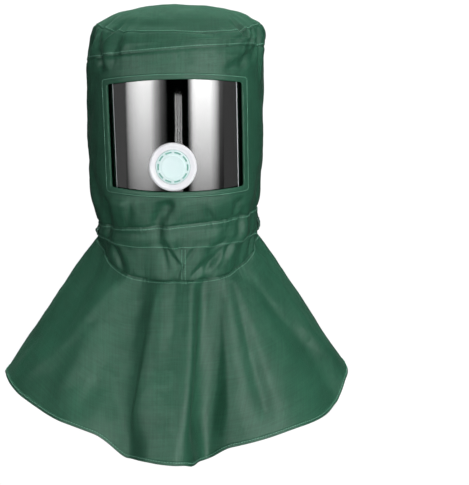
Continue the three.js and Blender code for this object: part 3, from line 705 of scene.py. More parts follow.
def make_object(name, points, groups, materials, sharp=38):
    """An object from points in millimetres and groups of faces with the same corner count.

    A group is (faces, material index, uv per corner or None)."""
    mesh = bpy.data.meshes.new(name)
    flip = signed_volume(points, [g[0] for g in groups]) < 0
    faces, index, coordinates = [], [], []
    for face, slot_index, corner_uv in groups:
        if len(face) == 0:
            continue
        if corner_uv is None:
            corner_uv = np.zeros(face.shape + (2,))
        if flip:
            face = face[:, ::-1]
            corner_uv = corner_uv[:, ::-1]
        faces.extend(face.tolist())
        index.append(np.full(len(face), slot_index, np.int32))
        coordinates.append(corner_uv.reshape(-1, 2))
    mesh.from_pydata((points * MM).tolist(), [], faces)
    layer = mesh.uv_layers.new(name="cloth")
    layer.data.foreach_set("uv", np.concatenate(coordinates).astype(np.float32).ravel())
    for material in materials:
        mesh.materials.append(material)
    mesh.polygons.foreach_set("material_index", np.concatenate(index))
    mesh.shade_smooth()
    mesh.set_sharp_from_angle(angle=sharp * DEGREE)
    return add_object(name, mesh)


def dress(made, node):
    """Hangs a piece on the root body and hides the solid that it replaces."""
    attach(made, "root")
    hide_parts(node)


def shell(
    name, outer, inner, materials, keep=None, closed=True, cap=None, uv=None, edge=0, sharp=38
):
    """A wall between two grids of points, with walls of its own round every open edge.

    keep marks the grid's cells that stay, cap names the row that is closed by one face, and
    edge is the index of the material on the open edges."""
    rows, columns = outer.shape[:2]
    count = rows * columns
    last = columns if closed else columns - 1
    near = np.arange(last)
    far = (near + 1) % columns
    index = np.arange(count).reshape(rows, columns)
    a, b = index[:-1][:, near], index[1:][:, near]
    c, d = index[1:][:, far], index[:-1][:, far]
    if keep is None:
        keep = np.ones((rows - 1, last), bool)
    full = uv is not None
    if uv is None:
        uv = np.zeros((rows, columns, 2))
    jump = np.zeros((rows, last, 2))
    if closed and full:
        step = np.linalg.norm(outer[:, 0] - outer[:, -1], axis=-1)
        jump[:, -1, 0] = uv[:, -1, 0] + step - uv[:, 0, 0]
    uv_a, uv_b = uv[:-1][:, near], uv[1:][:, near]
    uv_c, uv_d = uv[1:][:, far] + jump[1:], uv[:-1][:, far] + jump[:-1]
    groups = []

    def add(where, corners, coordinates, slot_index):
        faces = np.stack([q[where] for q in corners], axis=-1)
        places = np.stack([q[where] for q in coordinates], axis=-2)
        groups.append((faces, slot_index, places))

    n = count
    add(keep, (a, b, c, d), (uv_a, uv_b, uv_c, uv_d), 0)
    add(keep, (a + n, d + n, c + n, b + n), (uv_a, uv_d, uv_c, uv_b), 0)
    above = np.vstack([np.zeros((1, last), bool), keep[:-1]])
    below = np.vstack([keep[1:], np.zeros((1, last), bool)])
    if closed:
        left, right = np.roll(keep, 1, axis=1), np.roll(keep, -1, axis=1)
    else:
        none = np.zeros((rows - 1, 1), bool)
        left, right = np.hstack([none, keep[:, :-1]]), np.hstack([keep[:, 1:], none])
    upper, lower = keep & ~above, keep & ~below
    if cap == "first":
        upper[0] = False
        ring = index[0]
        groups.append((ring[None, :], 0, None))
        groups.append((ring[None, ::-1] + n, 0, None))
    if cap == "last":
        lower[-1] = False
        ring = index[-1]
        groups.append((ring[None, ::-1], 0, None))
        groups.append((ring[None, :] + n, 0, None))
    add(upper, (a, d, d + n, a + n), (uv_a, uv_d, uv_d, uv_a), edge)
    add(lower, (b, b + n, c + n, c), (uv_b, uv_b, uv_c, uv_c), edge)
    add(keep & ~left, (a, a + n, b + n, b), (uv_a, uv_a, uv_b, uv_b), edge)
    add(keep & ~right, (d, c, c + n, d + n), (uv_d, uv_c, uv_c, uv_d), edge)
    points = np.concatenate([outer.reshape(-1, 3), inner.reshape(-1, 3)])
    used = np.zeros(len(points), bool)
    for faces, _, _ in groups:
        used[faces.ravel()] = True
    renumber = np.cumsum(used) - 1
    groups = [(renumber[faces], s, places) for faces, s, places in groups]
    return make_object(name, points[used], groups, materials, sharp=sharp)


def grid_area(points, closed):
    """Area of a grid of points in square metres."""
    if closed:
        points = np.concatenate([points, points[:, :1]], axis=1)
    a, b, c, d = points[:-1, :-1], points[1:, :-1], points[1:, 1:], points[:-1, 1:]
    first = np.linalg.norm(np.cross(b - a, c - a), axis=-1)
    second = np.linalg.norm(np.cross(c - a, d - a), axis=-1)
    return float((first.sum() + second.sum()) / 2 * MM * MM)


# Materials

def new_material(name):
    material = bpy.data.materials.new(name)
    material.use_nodes = True
    material.node_tree.nodes.clear()
    return material, material.node_tree


def node(tree, kind, numbered=(), **values):
    """A shader node's outputs. A socket among the values is linked, any other value is set.

    numbered goes to its inputs in order. A capital starts an input's name, with _ for a
    space, and a small letter a setting's."""
    made = tree.nodes.new("ShaderNode" + kind)
    inputs = dict(enumerate(numbered))
    for key, value in values.items():
        if key[0].isupper():
            inputs[key.replace("_", " ")] = value
        else:
            setattr(made, key, value)
    for key, value in inputs.items():
        if isinstance(value, bpy.types.NodeSocket):
            tree.links.new(value, made.inputs[key])
        else:
            made.inputs[key].default_value = value
    return made.outputs


def noise(tree, vector, scale, detail, roughness=0.5):
    made = node(tree, "TexNoise", Vector=vector, Scale=scale, Detail=detail, Roughness=roughness)
    return made["Fac"]


def math_node(tree, operation, *values):
    return node(tree, "Math", values, operation=operation)["Value"]


def about(tree, factor, centre, spread):
    """A value that goes from spread below to spread above its centre with a factor."""
    low, high = centre - spread, centre + spread
    return node(tree, "MapRange", Value=factor, To_Min=low, To_Max=high)["Result"]


def color_ramp(tree, factor, rows):
    """Colours by a factor, from rows of (position, colour)."""
    made = node(tree, "ValToRGB", Fac=factor)["Color"]
    stops = made.node.color_ramp.elements
    for number, (position, color) in enumerate(rows):
        stop = stops[number] if number < 2 else stops.new(position)
        stop.position = position
        stop.color = (*color, 1)
    return made


def cloth_material(name, dark, light, roughness, weave=0.25, crinkle=0.35):
    """A coated plain weave: fine threads, uneven dye, satin bloom and small crinkles."""
    material, tree = new_material(name)
    where = node(tree, "TexCoord")
    threads = [
        node(
            tree, "TexWave", wave_type="BANDS", bands_direction=way,
            Vector=where["UV"], Scale=0.62, Distortion=0.6, Detail=1.0,
        )["Fac"]
        for way in ("X", "Y")
    ]
    dye = noise(tree, where["Object"], 14.0, 4.0, 0.6)
    small = noise(tree, where["Object"], 170.0, 5.0, 0.65)
    fleck = noise(tree, where["Object"], 900.0, 2.0, 0.6)
    slubs = []
    for along, over in ((0.42, 0.018), (0.018, 0.42)):
        stretch = node(tree, "Mapping", Vector=where["UV"], Scale=(along, over, 1))
        slubs.append(noise(tree, stretch["Vector"], 1.0, 2.0, 0.7))
    streaks = math_node(tree, "MULTIPLY_ADD", math_node(tree, "ADD", *slubs), 0.42, -0.21)
    shade = math_node(tree, "ADD", math_node(tree, "MULTIPLY", fleck, 0.25), streaks)
    shade = math_node(tree, "MULTIPLY_ADD", dye, 0.35, shade)
    crinkles = node(tree, "Bump", Strength=crinkle, Distance=0.0012, Height=small)
    woven = node(
        tree, "Bump", Strength=weave, Distance=0.00025,
        Height=math_node(tree, "MAXIMUM", *threads), Normal=crinkles["Normal"],
    )
    shader = node(
        tree, "BsdfPrincipled",
        Base_Color=color_ramp(tree, shade, [(0.36, dark), (0.64, light)]),
        Roughness=about(tree, small, roughness, 0.07),
        Normal=woven["Normal"],
        Specular_IOR_Level=0.5, Sheen_Weight=0.03, Sheen_Roughness=0.4,
        Coat_Weight=0.1, Coat_Roughness=0.4,
    )
    node(tree, "OutputMaterial", Surface=shader["BSDF"])
    return material


PLASTIC_SCALE = 60.0
GRAIN_FINER = 14


def plastic_material(name, dark, light, roughness):
    """A moulded plastic with faint clouds and a fine grain."""
    material, tree = new_material(name)
    where = node(tree, "TexCoord")["Object"]
    clouds = noise(tree, where, PLASTIC_SCALE, 4.0, 0.6)
    grain = noise(tree, where, PLASTIC_SCALE * GRAIN_FINER, 3.0)
    shader = node(
        tree, "BsdfPrincipled",
        Base_Color=color_ramp(tree, clouds, [(0.3, dark), (0.7, light)]),
        Roughness=about(tree, grain, roughness, 0.05),
        Normal=node(tree, "Bump", Strength=0.05, Distance=0.0004, Height=grain)["Normal"],
        Specular_IOR_Level=0.5,
    )
    node(tree, "OutputMaterial", Surface=shader["BSDF"])
    return material


def clear_material(name, tint, shine, roughness):
    """A clear sheet: it lets a tinted part of the light through and mirrors the rest."""
    material, tree = new_material(name)
    uneven = noise(tree, node(tree, "TexCoord")["Object"], 26.0, 3.0)
    wavy = node(tree, "Bump", Strength=0.12, Distance=0.0006, Height=uneven)
    through = node(tree, "BsdfTransparent", Color=(tint, tint, tint, 1))
    mirror = node(
        tree, "BsdfGlossy", Color=(1, 1, 1, 1), Normal=wavy["Normal"],
        Roughness=about(tree, uneven, roughness + 0.015, 0.015),
    )
    blend = node(tree, "MixShader", (shine, through["BSDF"], mirror["BSDF"]))
    node(tree, "OutputMaterial", Surface=blend["Shader"])
    return material


def glow_material(name, strength):
    material, tree = new_material(name)
    light = node(tree, "Emission", Color=(1, 1, 1, 1), Strength=strength)
    node(tree, "OutputMaterial", Surface=light["Emission"])
    return material


GREEN = cloth_material("green_cloth", (0.017, 0.080, 0.046), (0.030, 0.130, 0.076), 0.36)
# A lighter, greyer copy of the green cloth, used on the cord loops: painted light where they stand
# out from the collar.
GREEN_PAINTED_LIT = cloth_material("green_painted_lit", (0.040, 0.110, 0.078), (0.058, 0.140, 0.104), 0.52)
THREAD = cloth_material("green_thread", (0.13, 0.34, 0.24), (0.19, 0.43, 0.31), 0.55, 0, 0)
WHITE = plastic_material("white_plastic", (0.88, 0.87, 0.91), (0.93, 0.925, 0.94), 0.34)
MINT = plastic_material("mint_plastic", (0.76, 0.93, 0.92), (0.80, 0.95, 0.95), 0.42)
# A darker teal copy of the mint plastic, on the slots' walls, the cover's rim and the floor under
# the cover: painted shade in the slots and the recess.
MINT_PAINTED_SHADE = plastic_material("mint_painted_slot_shade", (0.30, 0.66, 0.58), (0.36, 0.72, 0.64), 0.5)
CLEAR = clear_material("clear_sheet", 0.6, 0.14, 0.02)
# A light grey for the sheets' cut edges and the film's outermost row: a painted highlight where the
# edges catch the light.
CLEAR_PAINTED_GLINT = plastic_material("clear_edge_painted_glint", (0.42, 0.45, 0.46), (0.6, 0.62, 0.63), 0.25)


# Cloth

SMALLEST_CUT = 0.0105  # metres, a loop's strip with its folded edge


def cloth_piece(name, grid, replaced, keep=None, cap=None, material=GREEN):
    uv = np.stack([grid["across"], -grid["down"]], axis=-1)
    made = shell(
        name, grid["outer"], grid["inner"], [material], keep=keep,
        closed=grid["closed"], cap=cap, uv=uv,
    )
    dress(made, replaced)
    area = grid_area(grid["outer"], grid["closed"])
    wide = float(grid["across"].max() - grid["across"].min()) * MM
    tall = float(grid["down"].max()) * MM
    if keep is not None:
        area *= float(keep.mean())
    wide, tall = max(wide, SMALLEST_CUT), max(tall, SMALLEST_CUT)
    tall *= max(1, area / (wide * tall))


# Seeds of the pleats beside each seam
RIM_SEAM, BROW_SEAM, WAIST_SEAM, NECK_SEAM = 1, 2, 3, 5


def band_lift(station):
    """How far the upper band's flap stands out over the lower band."""
    return (CLOTH + 2 * GAP) * smooth((station - WAIST - 0.25) / 0.6)


def edged(start, end, count, crowd=0.0):
    """Levels that crowd towards both ends, where the seams draw the cloth in."""
    t = np.linspace(0, 1, count + 1)
    return mix(start, end, t - crowd * np.sin(2 * math.pi * t) / (2 * math.pi))


CROWN_TOP = 0.02  # the crown's first ring, which one face closes

crown = panel(crowded(300), edged(CROWN_TOP, RIM, 70, 0.5), foot=RIM_SEAM)
cloth_piece("cloth_crown_panel", crown, "crown_panel", cap="first")
band = panel(crowded(380), edged(RIM, BROW, 30, 0.5), top=RIM_SEAM, foot=BROW_SEAM)
cloth_piece("cloth_crown_band", band, "crown_band")

seam_trim = GAP / 2 / (HEAD_HALF_WIDTH * DEGREE)
front_azimuths = np.linspace(-(SIDE_SEAM - seam_trim), SIDE_SEAM - seam_trim, 240)
head_levels = edged(BROW, WAIST, 116, 0.35)
front = panel(front_azimuths, head_levels, top=BROW_SEAM, foot=WAIST_SEAM, closed=False)
back_azimuths = np.linspace(SIDE_SEAM + seam_trim, 360 - SIDE_SEAM - seam_trim, 110)
back = panel(
    back_azimuths, edged(BROW, WAIST, 80, 0.35), top=BROW_SEAM,
    foot=WAIST_SEAM, closed=False,
)


AZIMUTH_STEP = 0.2
STATION_STEP = 0.002
CUT_ROUNDING = 0.7  # the cut's corners are this much tighter, under the binding
AHEAD = 80  # the window lies within this many degrees of straight ahead
FAR_AWAY = 50


def window_distance(x, z):
    """Signed distance outside the window's outline, in the upright plane."""
    lean = math.tan(WINDOW_LEAN * DEGREE)
    u = x + (z - WINDOW_MIDDLE) * lean
    rise = np.where(z > WINDOW_MIDDLE, x * WINDOW_RISE / WINDOW_WIDTH, 0)
    half = WINDOW_WIDTH / 2
    bow = WINDOW_ARCH * (1 - np.clip(u / half, -1, 1) ** 2)
    up = z - rise - WINDOW_TOP - bow
    down = WINDOW_SILL - bow - z
    across = np.abs(u) - half
    vertical = np.maximum(up, down)
    r = WINDOW_CORNER * CUT_ROUNDING
    outside = np.hypot(np.maximum(across + r, 0), np.maximum(vertical + r, 0))
    return outside + np.minimum(np.maximum(across + r, vertical + r), 0) - r


def cut_window(grid):
    """Moves the grid's points beside the opening onto its outline, and marks what stays."""
    azimuth, station = grid["azimuth"].copy(), grid["station"].copy()
    ahead = np.abs(azimuth) < AHEAD

    def distance(a, s):
        p = hood_point(a, s)
        return np.where(ahead, window_distance(p[..., 0], p[..., 2]), FAR_AWAY)

    d = distance(azimuth, station)
    inside = d < 0
    keep = ~(inside[:-1, :-1] & inside[1:, :-1] & inside[1:, 1:] & inside[:-1, 1:])
    edge = np.zeros_like(inside)
    edge[:-1, :-1] |= keep
    edge[1:, :-1] |= keep
    edge[1:, 1:] |= keep
    edge[:-1, 1:] |= keep
    edge &= inside
    step_a, step_s = AZIMUTH_STEP, STATION_STEP
    for _ in range(4):
        d = distance(azimuth, station)
        slope_a = (distance(azimuth + step_a, station) - d) / step_a
        slope_s = (distance(azimuth, station + step_s) - d) / step_s
        size_a, size_s = 1 / (HEAD_HALF_WIDTH * DEGREE), 1 / HEAD_PANEL
        pull = np.maximum((slope_a * size_a) ** 2 + (slope_s * size_s) ** 2, 1e-12)
        azimuth = np.where(edge, azimuth - d * slope_a * size_a**2 / pull, azimuth)
        station = np.where(edge, station - d * slope_s * size_s**2 / pull, station)
    base = hood_point(azimuth, station)
    outer = np.where(edge[..., None], base, grid["outer"])
    inner = np.where(edge[..., None], base - grid["normal"] * CLOTH, grid["inner"])
    return dict(grid, outer=outer, inner=inner), keep


front_cut, front_keep = cut_window(front)
cloth_piece(
    "cloth_head_front", front_cut, "head_front", keep=front_keep
)
cloth_piece("cloth_head_back", back, "head_back")

upper = panel(
    crowded(420), np.concatenate([edged(WAIST, JOIN, 16, 0.3), spaced(JOIN, FLAP, 5)[1:]]),
    lift=band_lift, top=WAIST_SEAM,
)
cloth_piece("cloth_collar_upper", upper, "collar_upper_band")
lower = panel(
    crowded(420), np.concatenate([spaced(JOIN, FLAP, 5), spaced(FLAP, NECK, 18)[1:]]),
    foot=NECK_SEAM,
)
cloth_piece("cloth_collar_lower", lower, "collar_lower_band")

HEM_ROLL = 5.5
HEM_SHARE = HEM_ROLL / CAPE_DROP
HEM_FINE = 1.3 * HEM_SHARE  # the hem and a little above it have closer levels


HEM_EDGE = 0.15
HEM_ROUND = 0.2
HEM_STEP_FROM = 1.12


def hem_swell(station):
    """Half of what the rolled hem adds to the cloth's thickness."""
    up = (HEM - station) / HEM_SHARE
    rolled = np.sqrt(1 - (1 - np.clip(up / HEM_ROUND, 0, 1)) ** 2)
    return HEM_FOLD * smooth((HEM_STEP_FROM - up) / HEM_ROUND) * mix(HEM_EDGE, 1, rolled)


cape_levels = np.concatenate([
    edged(NECK, HEM - HEM_FINE, 82),
    spaced(HEM - HEM_FINE, HEM, 16)[1:],
])
cape = panel(
    crowded(460), cape_levels, lift=hem_swell, thick=lambda s: CLOTH + 2 * hem_swell(s),
    top=NECK_SEAM,
)
cloth_piece("cloth_cape", cape, "cape")


# The loops at the sides of the collar

SOLID_COLUMNS = 60  # the solids' columns round the hood, which the loops' edges follow


def loop_grid(side):
    beyond = sorted((abs(a) for a in crowded(SOLID_COLUMNS) if a * side > LOOP_AZIMUTH))[:2]
    ends = sorted(side * a for a in beyond)
    levels = spaced(LOOP_TOP, LOOP_FOOT, 36)
    sewn = LOOP_ENDS * (LOOP_FOOT - LOOP_TOP)
    rise = 0.2 * (LOOP_FOOT - LOOP_TOP)

    def lift(station):
        arch = smooth((station - LOOP_TOP - sewn) / rise)
        arch = arch * smooth((LOOP_FOOT - sewn - station) / rise)
        return band_lift(station) + 2 * GAP + CLOTH + LOOP_STAND * arch

    return panel(np.linspace(ends[0], ends[1], 12), levels, lift=lift, closed=False)


# The loops take the lighter copy of the green cloth: painted light.
for loop_name, loop_side in (("left", -1), ("right", 1)):
    cloth_piece(
        f"cloth_loop_{loop_name}", loop_grid(loop_side), f"cord_loop_{loop_name}",
        material=GREEN_PAINTED_LIT,
    )


# The window's binding, and the two clear sheets

def window_outline(grow_side, grow_up, count):
    """The window's outline as count points [x, z] at even steps, clockwise seen from the front."""
    lean = math.tan(WINDOW_LEAN * DEGREE)
    half = WINDOW_WIDTH / 2 + grow_side
    top, sill = WINDOW_TOP + grow_up, WINDOW_SILL - grow_up
    rise = WINDOW_RISE / WINDOW_WIDTH
    r = WINDOW_CORNER

    def leaned(x, z):
        lift = x * rise if z > WINDOW_MIDDLE else 0
        return np.array([x - (z - WINDOW_MIDDLE) * lean, z + lift])

    def curve(a, b, c, steps):
        t = np.linspace(0, 1, steps, endpoint=False)[:, None]
        return leaned(*a) * (1 - t) ** 2 + leaned(*b) * 2 * t * (1 - t) + leaned(*c) * t * t

    def line(a, b, steps):
        t = np.linspace(0, 1, steps, endpoint=False)[:, None]
        return mix(leaned(*a), leaned(*b), t)

    path = []
    for way, near, other in ((1, sill, top), (-1, top, sill)):
        start, end, side = -way * (half - r), way * (half - r), way * half
        path += [
            curve((start, near), (0, near - 2 * way * WINDOW_ARCH), (end, near), 80),
            curve((end, near), (side, near), (side, near + way * r), 12),
            line((side, near + way * r), (side, other - way * r), 60),
            curve((side, other - way * r), (side, other), (end, other), 12),
        ]
    path = np.concatenate(path)[::-1]
    ring = np.concatenate([path, path[:1]])
    length = arc(ring, 0)
    return at_lengths(np.linspace(0, length[-1], count, endpoint=False), length, ring)


def on_front(x, z):
    """Azimuth and station of the cloth's outside at x and z on the front."""
    azimuth = np.arcsin(np.clip(x / HEAD_HALF_WIDTH, -0.95, 0.95)) / DEGREE
    station = BROW + (BROW_Z - z) / HEAD_PANEL
    for _ in range(8):
        p = hood_point(azimuth, station)
        aside = hood_point(azimuth + AZIMUTH_STEP, station)
        below = hood_point(azimuth, station + STATION_STEP)
        slope_x = (aside[..., 0] - p[..., 0]) / AZIMUTH_STEP
        slope_z = (below[..., 2] - p[..., 2]) / STATION_STEP
        azimuth = azimuth + (x - p[..., 0]) / slope_x
        station = station + (z - p[..., 2]) / slope_z
    return azimuth, station


def addressed(path, out):
    """Points out from the front cloth over [x, z] places, and the normals there."""
    azimuth, station = on_front(path[..., 0], path[..., 1])
    normal = outward(azimuth, station)
    return hood_point(azimuth, station) + normal * out[..., None], normal


BINDING_COLUMNS = 420
BINDING_PITCH = 1.5
BINDING_RIPPLE = 0.12
BINDING_RIPPLE_LENGTH = 4.1
BINDING_EDGE = 0.35
BINDING_STITCH = 0.78  # the stitches draw the strip in at this share of its width
BINDING_STITCH_WIDTH = 0.07
BINDING_GROOVE = 0.35

inner_line = window_outline(-0.5 * BINDING, -0.5 * BINDING, BINDING_COLUMNS)
outer_line = window_outline(BINDING_WIDTH, BINDING_WIDTH, BINDING_COLUMNS)
shares = np.linspace(1, 0, 11)[:, None]
strip = mix(inner_line, outer_line, shares[..., None])
edge_round = 1 - np.abs(shares * 2 - 1) ** 6
along = np.arange(BINDING_COLUMNS)[None, :] * BINDING_PITCH
groove = BINDING_GROOVE * bell((shares - BINDING_STITCH) / BINDING_STITCH_WIDTH)
ripple = BINDING_RIPPLE * np.sin(along / BINDING_RIPPLE_LENGTH) * edge_round
strip_out = GAP + BINDING * mix(BINDING_EDGE, 1, edge_round) - groove + ripple
binding_outer, _ = addressed(strip, strip_out)
binding_inner, _ = addressed(strip, np.full(strip.shape[:2], GAP))
binding_uv = np.stack(np.broadcast_arrays(along, shares * BINDING_WIDTH), axis=-1)
binding = shell("cloth_window_binding", binding_outer, binding_inner, [GREEN], uv=binding_uv)
dress(binding, "window_binding")


def visor_y(x, set_back):
    inset = CLOTH + VISOR_SET_BACK + set_back
    side, front_reach = HEAD_HALF_WIDTH - inset, HEAD_FRONT - inset
    share = np.clip(np.abs(x) / side, 0, 1)
    return -front_reach * (1 - share**VISOR_SQUARE) ** (1 / VISOR_SQUARE)


FILM_FACE = float(visor_y(np.array(0.0), 0))


CLEAR_COLUMNS = 360
CLEAR_ROWS = 60


def clear_piece(name, replaced, set_back, thickness, grow_side, grow_up, glint_rows=0):
    """A sheet with its hole for the valve. Its open edges, and the given number of face rows along
    its outline, take a light grey: a painted highlight on the edges.
    """
    outline = window_outline(grow_side, grow_up, CLEAR_COLUMNS)
    centre = np.array([VALVE_OFF_CENTRE, VALVE_Z])
    away = outline - centre
    hole = centre + away / np.linalg.norm(away, axis=1, keepdims=True) * (SPIGOT_RADIUS + GAP)
    flat = mix(outline[None], hole[None], np.linspace(0, 1, CLEAR_ROWS)[:, None, None])
    faces = []
    for back_by in (set_back, set_back + thickness):
        y = visor_y(flat[..., 0], back_by)
        faces.append(np.stack([flat[..., 0], y, flat[..., 1]], axis=-1))
    made = shell(name, faces[0], faces[1], [CLEAR, CLEAR_PAINTED_GLINT], edge=1)
    for face in made.data.polygons[: CLEAR_COLUMNS * glint_rows]:
        face.material_index = 1
    dress(made, replaced)


# The film's outermost row of faces takes the light grey: a painted highlight on its edge.
clear_piece("clear_visor_film", "visor_film", 0, FILM, -FILM_INSET, FILM_LAP, glint_rows=1)
clear_piece("clear_visor_sheet", "visor_sheet", FILM + GAP, SHEET, SHEET_LAP, SHEET_LAP)


# The breathing valve

VALVE_COLUMNS = 120


def turned(name, profile, materials, seated, painted_shade_rows=()):
    """A closed profile of (radius, distance in front of the film) turned about the valve's axis.

    seated names the profile's points that follow a sheet behind them, as {index: set back}.
    The profile's edges in the last argument take the second material, a darker copy of the first:
    painted shade."""
    angle = np.linspace(0, 2 * math.pi, VALVE_COLUMNS, endpoint=False)
    rows = []
    for number, (radius, out) in enumerate(profile):
        x = VALVE_OFF_CENTRE + radius * np.sin(angle)
        z = VALVE_Z + radius * np.cos(angle)
        y = np.full_like(x, FILM_FACE - out)
        if number in seated:
            y = visor_y(x, seated[number])
        rows.append(np.stack([x, y, z], axis=-1))
    points = np.stack(rows)
    count, columns = points.shape[:2]
    index = np.arange(count * columns).reshape(count, columns)
    a, b = index, np.roll(index, -1, axis=0)
    quads = np.stack([a, b, np.roll(b, -1, axis=1), np.roll(a, -1, axis=1)], axis=-1)
    groups = [(quads[row], int(row in painted_shade_rows), None) for row in range(count)]
    return make_object(name, points.reshape(-1, 3), groups, materials, sharp=28)


def rounded_arc(centre, radius, start, end, steps):
    """Points on a quarter round: centre and radius in (radius, out), angles in degrees."""
    angles = np.linspace(start, end, steps) * DEGREE
    return [(centre[0] + radius * math.cos(a), centre[1] + radius * math.sin(a)) for a in angles]


recess = COVER_RADIUS + GAP
floor_out = VALVE_STAND - COVER + COVER_PROUD - GAP
behind = -(FILM + SHEET + GAP + SPIGOT_REACH)
bore = SPIGOT_RADIUS - SPIGOT_WALL
flange_face = 7.3
edge_radius = 2.9
edge_centre = (VALVE_RADIUS - edge_radius, 5.1)
body_profile = [
    (bore, behind),
    (bore, floor_out),
    (recess, floor_out),
    (recess, flange_face - 0.4),
    (recess + 0.5, flange_face - 0.05),
    (24.4, flange_face),
    (26.6, flange_face + 0.45),
    *rounded_arc(edge_centre, edge_radius, 95, 0, 9),
    (VALVE_RADIUS, 2.2),
    (VALVE_RADIUS - 0.3, 0),
    (SPIGOT_RADIUS + 0.01, 0),
    (SPIGOT_RADIUS, behind),
]
# The recess floor under the cover, seen through the slots, takes the darker teal copy: painted
# shade.
seated_from = len(body_profile) - 3
body = turned(
    "plastic_valve_body", body_profile, [WHITE, MINT_PAINTED_SHADE],
    {seated_from: -GAP, seated_from + 1: -GAP}, painted_shade_rows=(1,),
)
dress(body, "valve_body")

ring_front = FILM + SHEET + 2 * GAP
ring_back = -(ring_front + RING_DEPTH)
ring_edge = SPIGOT_RADIUS + RING_WIDTH
ring_profile = [
    (SPIGOT_RADIUS + GAP, 0),
    (ring_edge, 0),
    (ring_edge, ring_back + 1),
    (ring_edge - 1, ring_back),
    (SPIGOT_RADIUS + GAP, ring_back),
]
ring = turned("plastic_valve_ring", ring_profile, [WHITE], {0: ring_front, 1: ring_front})
dress(ring, "valve_ring")

CELLS_IN_SLOT = 10
CELLS_BETWEEN = 4
slot_half = SLOT_SPAN / 2
pitch = 360 / SLOT_COUNT
one_turn = np.concatenate([
    np.linspace(-slot_half, slot_half, CELLS_IN_SLOT, endpoint=False),
    np.linspace(slot_half, pitch - slot_half, CELLS_BETWEEN, endpoint=False),
])
cover_angles = np.concatenate([one_turn + pitch * k for k in range(SLOT_COUNT)]) + SLOT_TURN
seat = floor_out + GAP
cover_profile = named("radius height", [
    (COVER_RADIUS, COVER - 0.8),
    (COVER_RADIUS - 0.25, COVER - 0.25),
    (COVER_RADIUS - 0.8, COVER),
    (SLOT_RING + SLOT_WIDTH / 2, COVER),
    (SLOT_RING - SLOT_WIDTH / 2, COVER),
    (SLOT_RING - 1.7 * SLOT_WIDTH, COVER),
    (SLOT_RING - 2.0 * SLOT_WIDTH, COVER + 0.5),
    (12.4, COVER + 0.5),
    (11.6, COVER + 0.35),
    (6, COVER + 0.35),
    (1, COVER + 0.35),
])
SLOT_ROW = 3
cover_radii = np.array([row["radius"] for row in cover_profile])
cover_height = np.array([row["height"] for row in cover_profile])
cover_grid = []
for height in (cover_height, np.zeros_like(cover_height)):
    a = cover_angles[None, :] * DEGREE
    x = VALVE_OFF_CENTRE + cover_radii[:, None] * np.sin(a)
    z = VALVE_Z + cover_radii[:, None] * np.cos(a)
    y = np.broadcast_to((FILM_FACE - seat - height)[:, None], x.shape)
    cover_grid.append(np.stack([x, y, z], axis=-1))
cover_keep = np.ones((len(cover_radii) - 1, len(cover_angles)), bool)
in_slot = np.tile(np.arange(CELLS_IN_SLOT + CELLS_BETWEEN) < CELLS_IN_SLOT, SLOT_COUNT)
cover_keep[SLOT_ROW, in_slot] = False
# The cover's open edges, round its slots and at its rim, take the darker teal copy: painted shade.
cover = shell(
    "plastic_valve_cover", *cover_grid, [MINT, MINT_PAINTED_SHADE], keep=cover_keep, cap="last", edge=1,
    sharp=28,
)
dress(cover, "valve_cover")


# Stitches

STITCH_PITCH = 3.6
STITCH_LENGTH = 3.0
STITCH_WIDTH = 0.8
STITCH_HEIGHT = 0.45
STITCH_SINK = 0.1
STITCH_TAPER = 0.6
STITCH_SHAPE = np.array([[-0.5, 0.0], [-0.4, 0.8], [0.0, 1.0], [0.4, 0.8], [0.5, 0.0]])


def row_path(grid, away, edge="top"):
    """Points and normals along a grid at a distance from its top or foot."""
    order = slice(None) if edge == "top" else slice(None, None, -1)
    down = np.abs(grid["down"] - grid["down"][order][0])[order]
    picked = range(down.shape[1])
    rows = [
        np.array([at_lengths(away, down[:, c], grid[key][order, c]) for c in picked])
        for key in ("outer", "normal")
    ]
    if grid["closed"]:
        rows = [np.vstack([row, row[:1]]) for row in rows]
    return rows


def column_path(grid, azimuth, offset=0.0, picked=slice(None)):
    """Points and normals down a grid at an azimuth, moved sideways by offset millimetres."""
    points, normals = [], []
    for r in range(len(grid["outer"]))[picked]:
        across = grid["across"][r]
        where = np.interp(azimuth, grid["azimuth"][r], across) + offset
        points.append(at_lengths(where, across, grid["outer"][r]))
        normals.append(at_lengths(where, across, grid["normal"][r]))
    return np.array(points), np.array(normals)


class Stitches:
    """Rows of short raised stitches gathered into one mesh."""

    def __init__(self):
        self.points, self.faces, self.count = [], [], 0

    def row(self, points, normals, pitch=STITCH_PITCH):
        length = arc(points, 0)
        number = int(length[-1] / pitch)
        middle = (np.arange(number) + 0.5) * pitch
        here = at_lengths(middle, length, points)
        ahead = at_lengths(middle + 0.4, length, points)
        normal = unit(at_lengths(middle, length, normals))
        along = unit(ahead - here)
        side = unit(np.cross(normal, along))
        rings = []
        for share, full in STITCH_SHAPE:
            centre = here + along * share * STITCH_LENGTH
            low = centre - normal * (STITCH_SINK + 0.25 * (1 - full))
            high = centre + normal * (STITCH_HEIGHT * full - 0.05)
            wide = side * STITCH_WIDTH / 2 * mix(0.45, 1, full)
            top_wide = wide * STITCH_TAPER
            corners = [low - wide, low + wide, high + top_wide, high - top_wide]
            rings.append(np.stack(corners, axis=1))
        self.points.append(np.stack(rings, axis=1).reshape(-1, 3))
        size = len(rings) * 4
        for start in range(self.count, self.count + number * size, size):
            for ring_start in range(start, start + size - 4, 4):
                for q in range(4):
                    a, b = ring_start + q, ring_start + (q + 1) % 4
                    self.faces.append((a, b, b + 4, a + 4))
            last = start + size - 4
            self.faces.append((start + 3, start + 2, start + 1, start))
            self.faces.append((last, last + 1, last + 2, last + 3))
        self.count += number * size

    def make(self, name):
        faces = np.array(self.faces)
        return make_object(name, np.concatenate(self.points), [(faces, 0, None)], [THREAD], sharp=60)


SIDE_STITCH = 1.6  # degrees from the side seam
CENTRE_SEAM = 3  # azimuth of the lower band's seam
CENTRE_STITCH = 2.2
CENTRE_ROWS = slice(6, None)

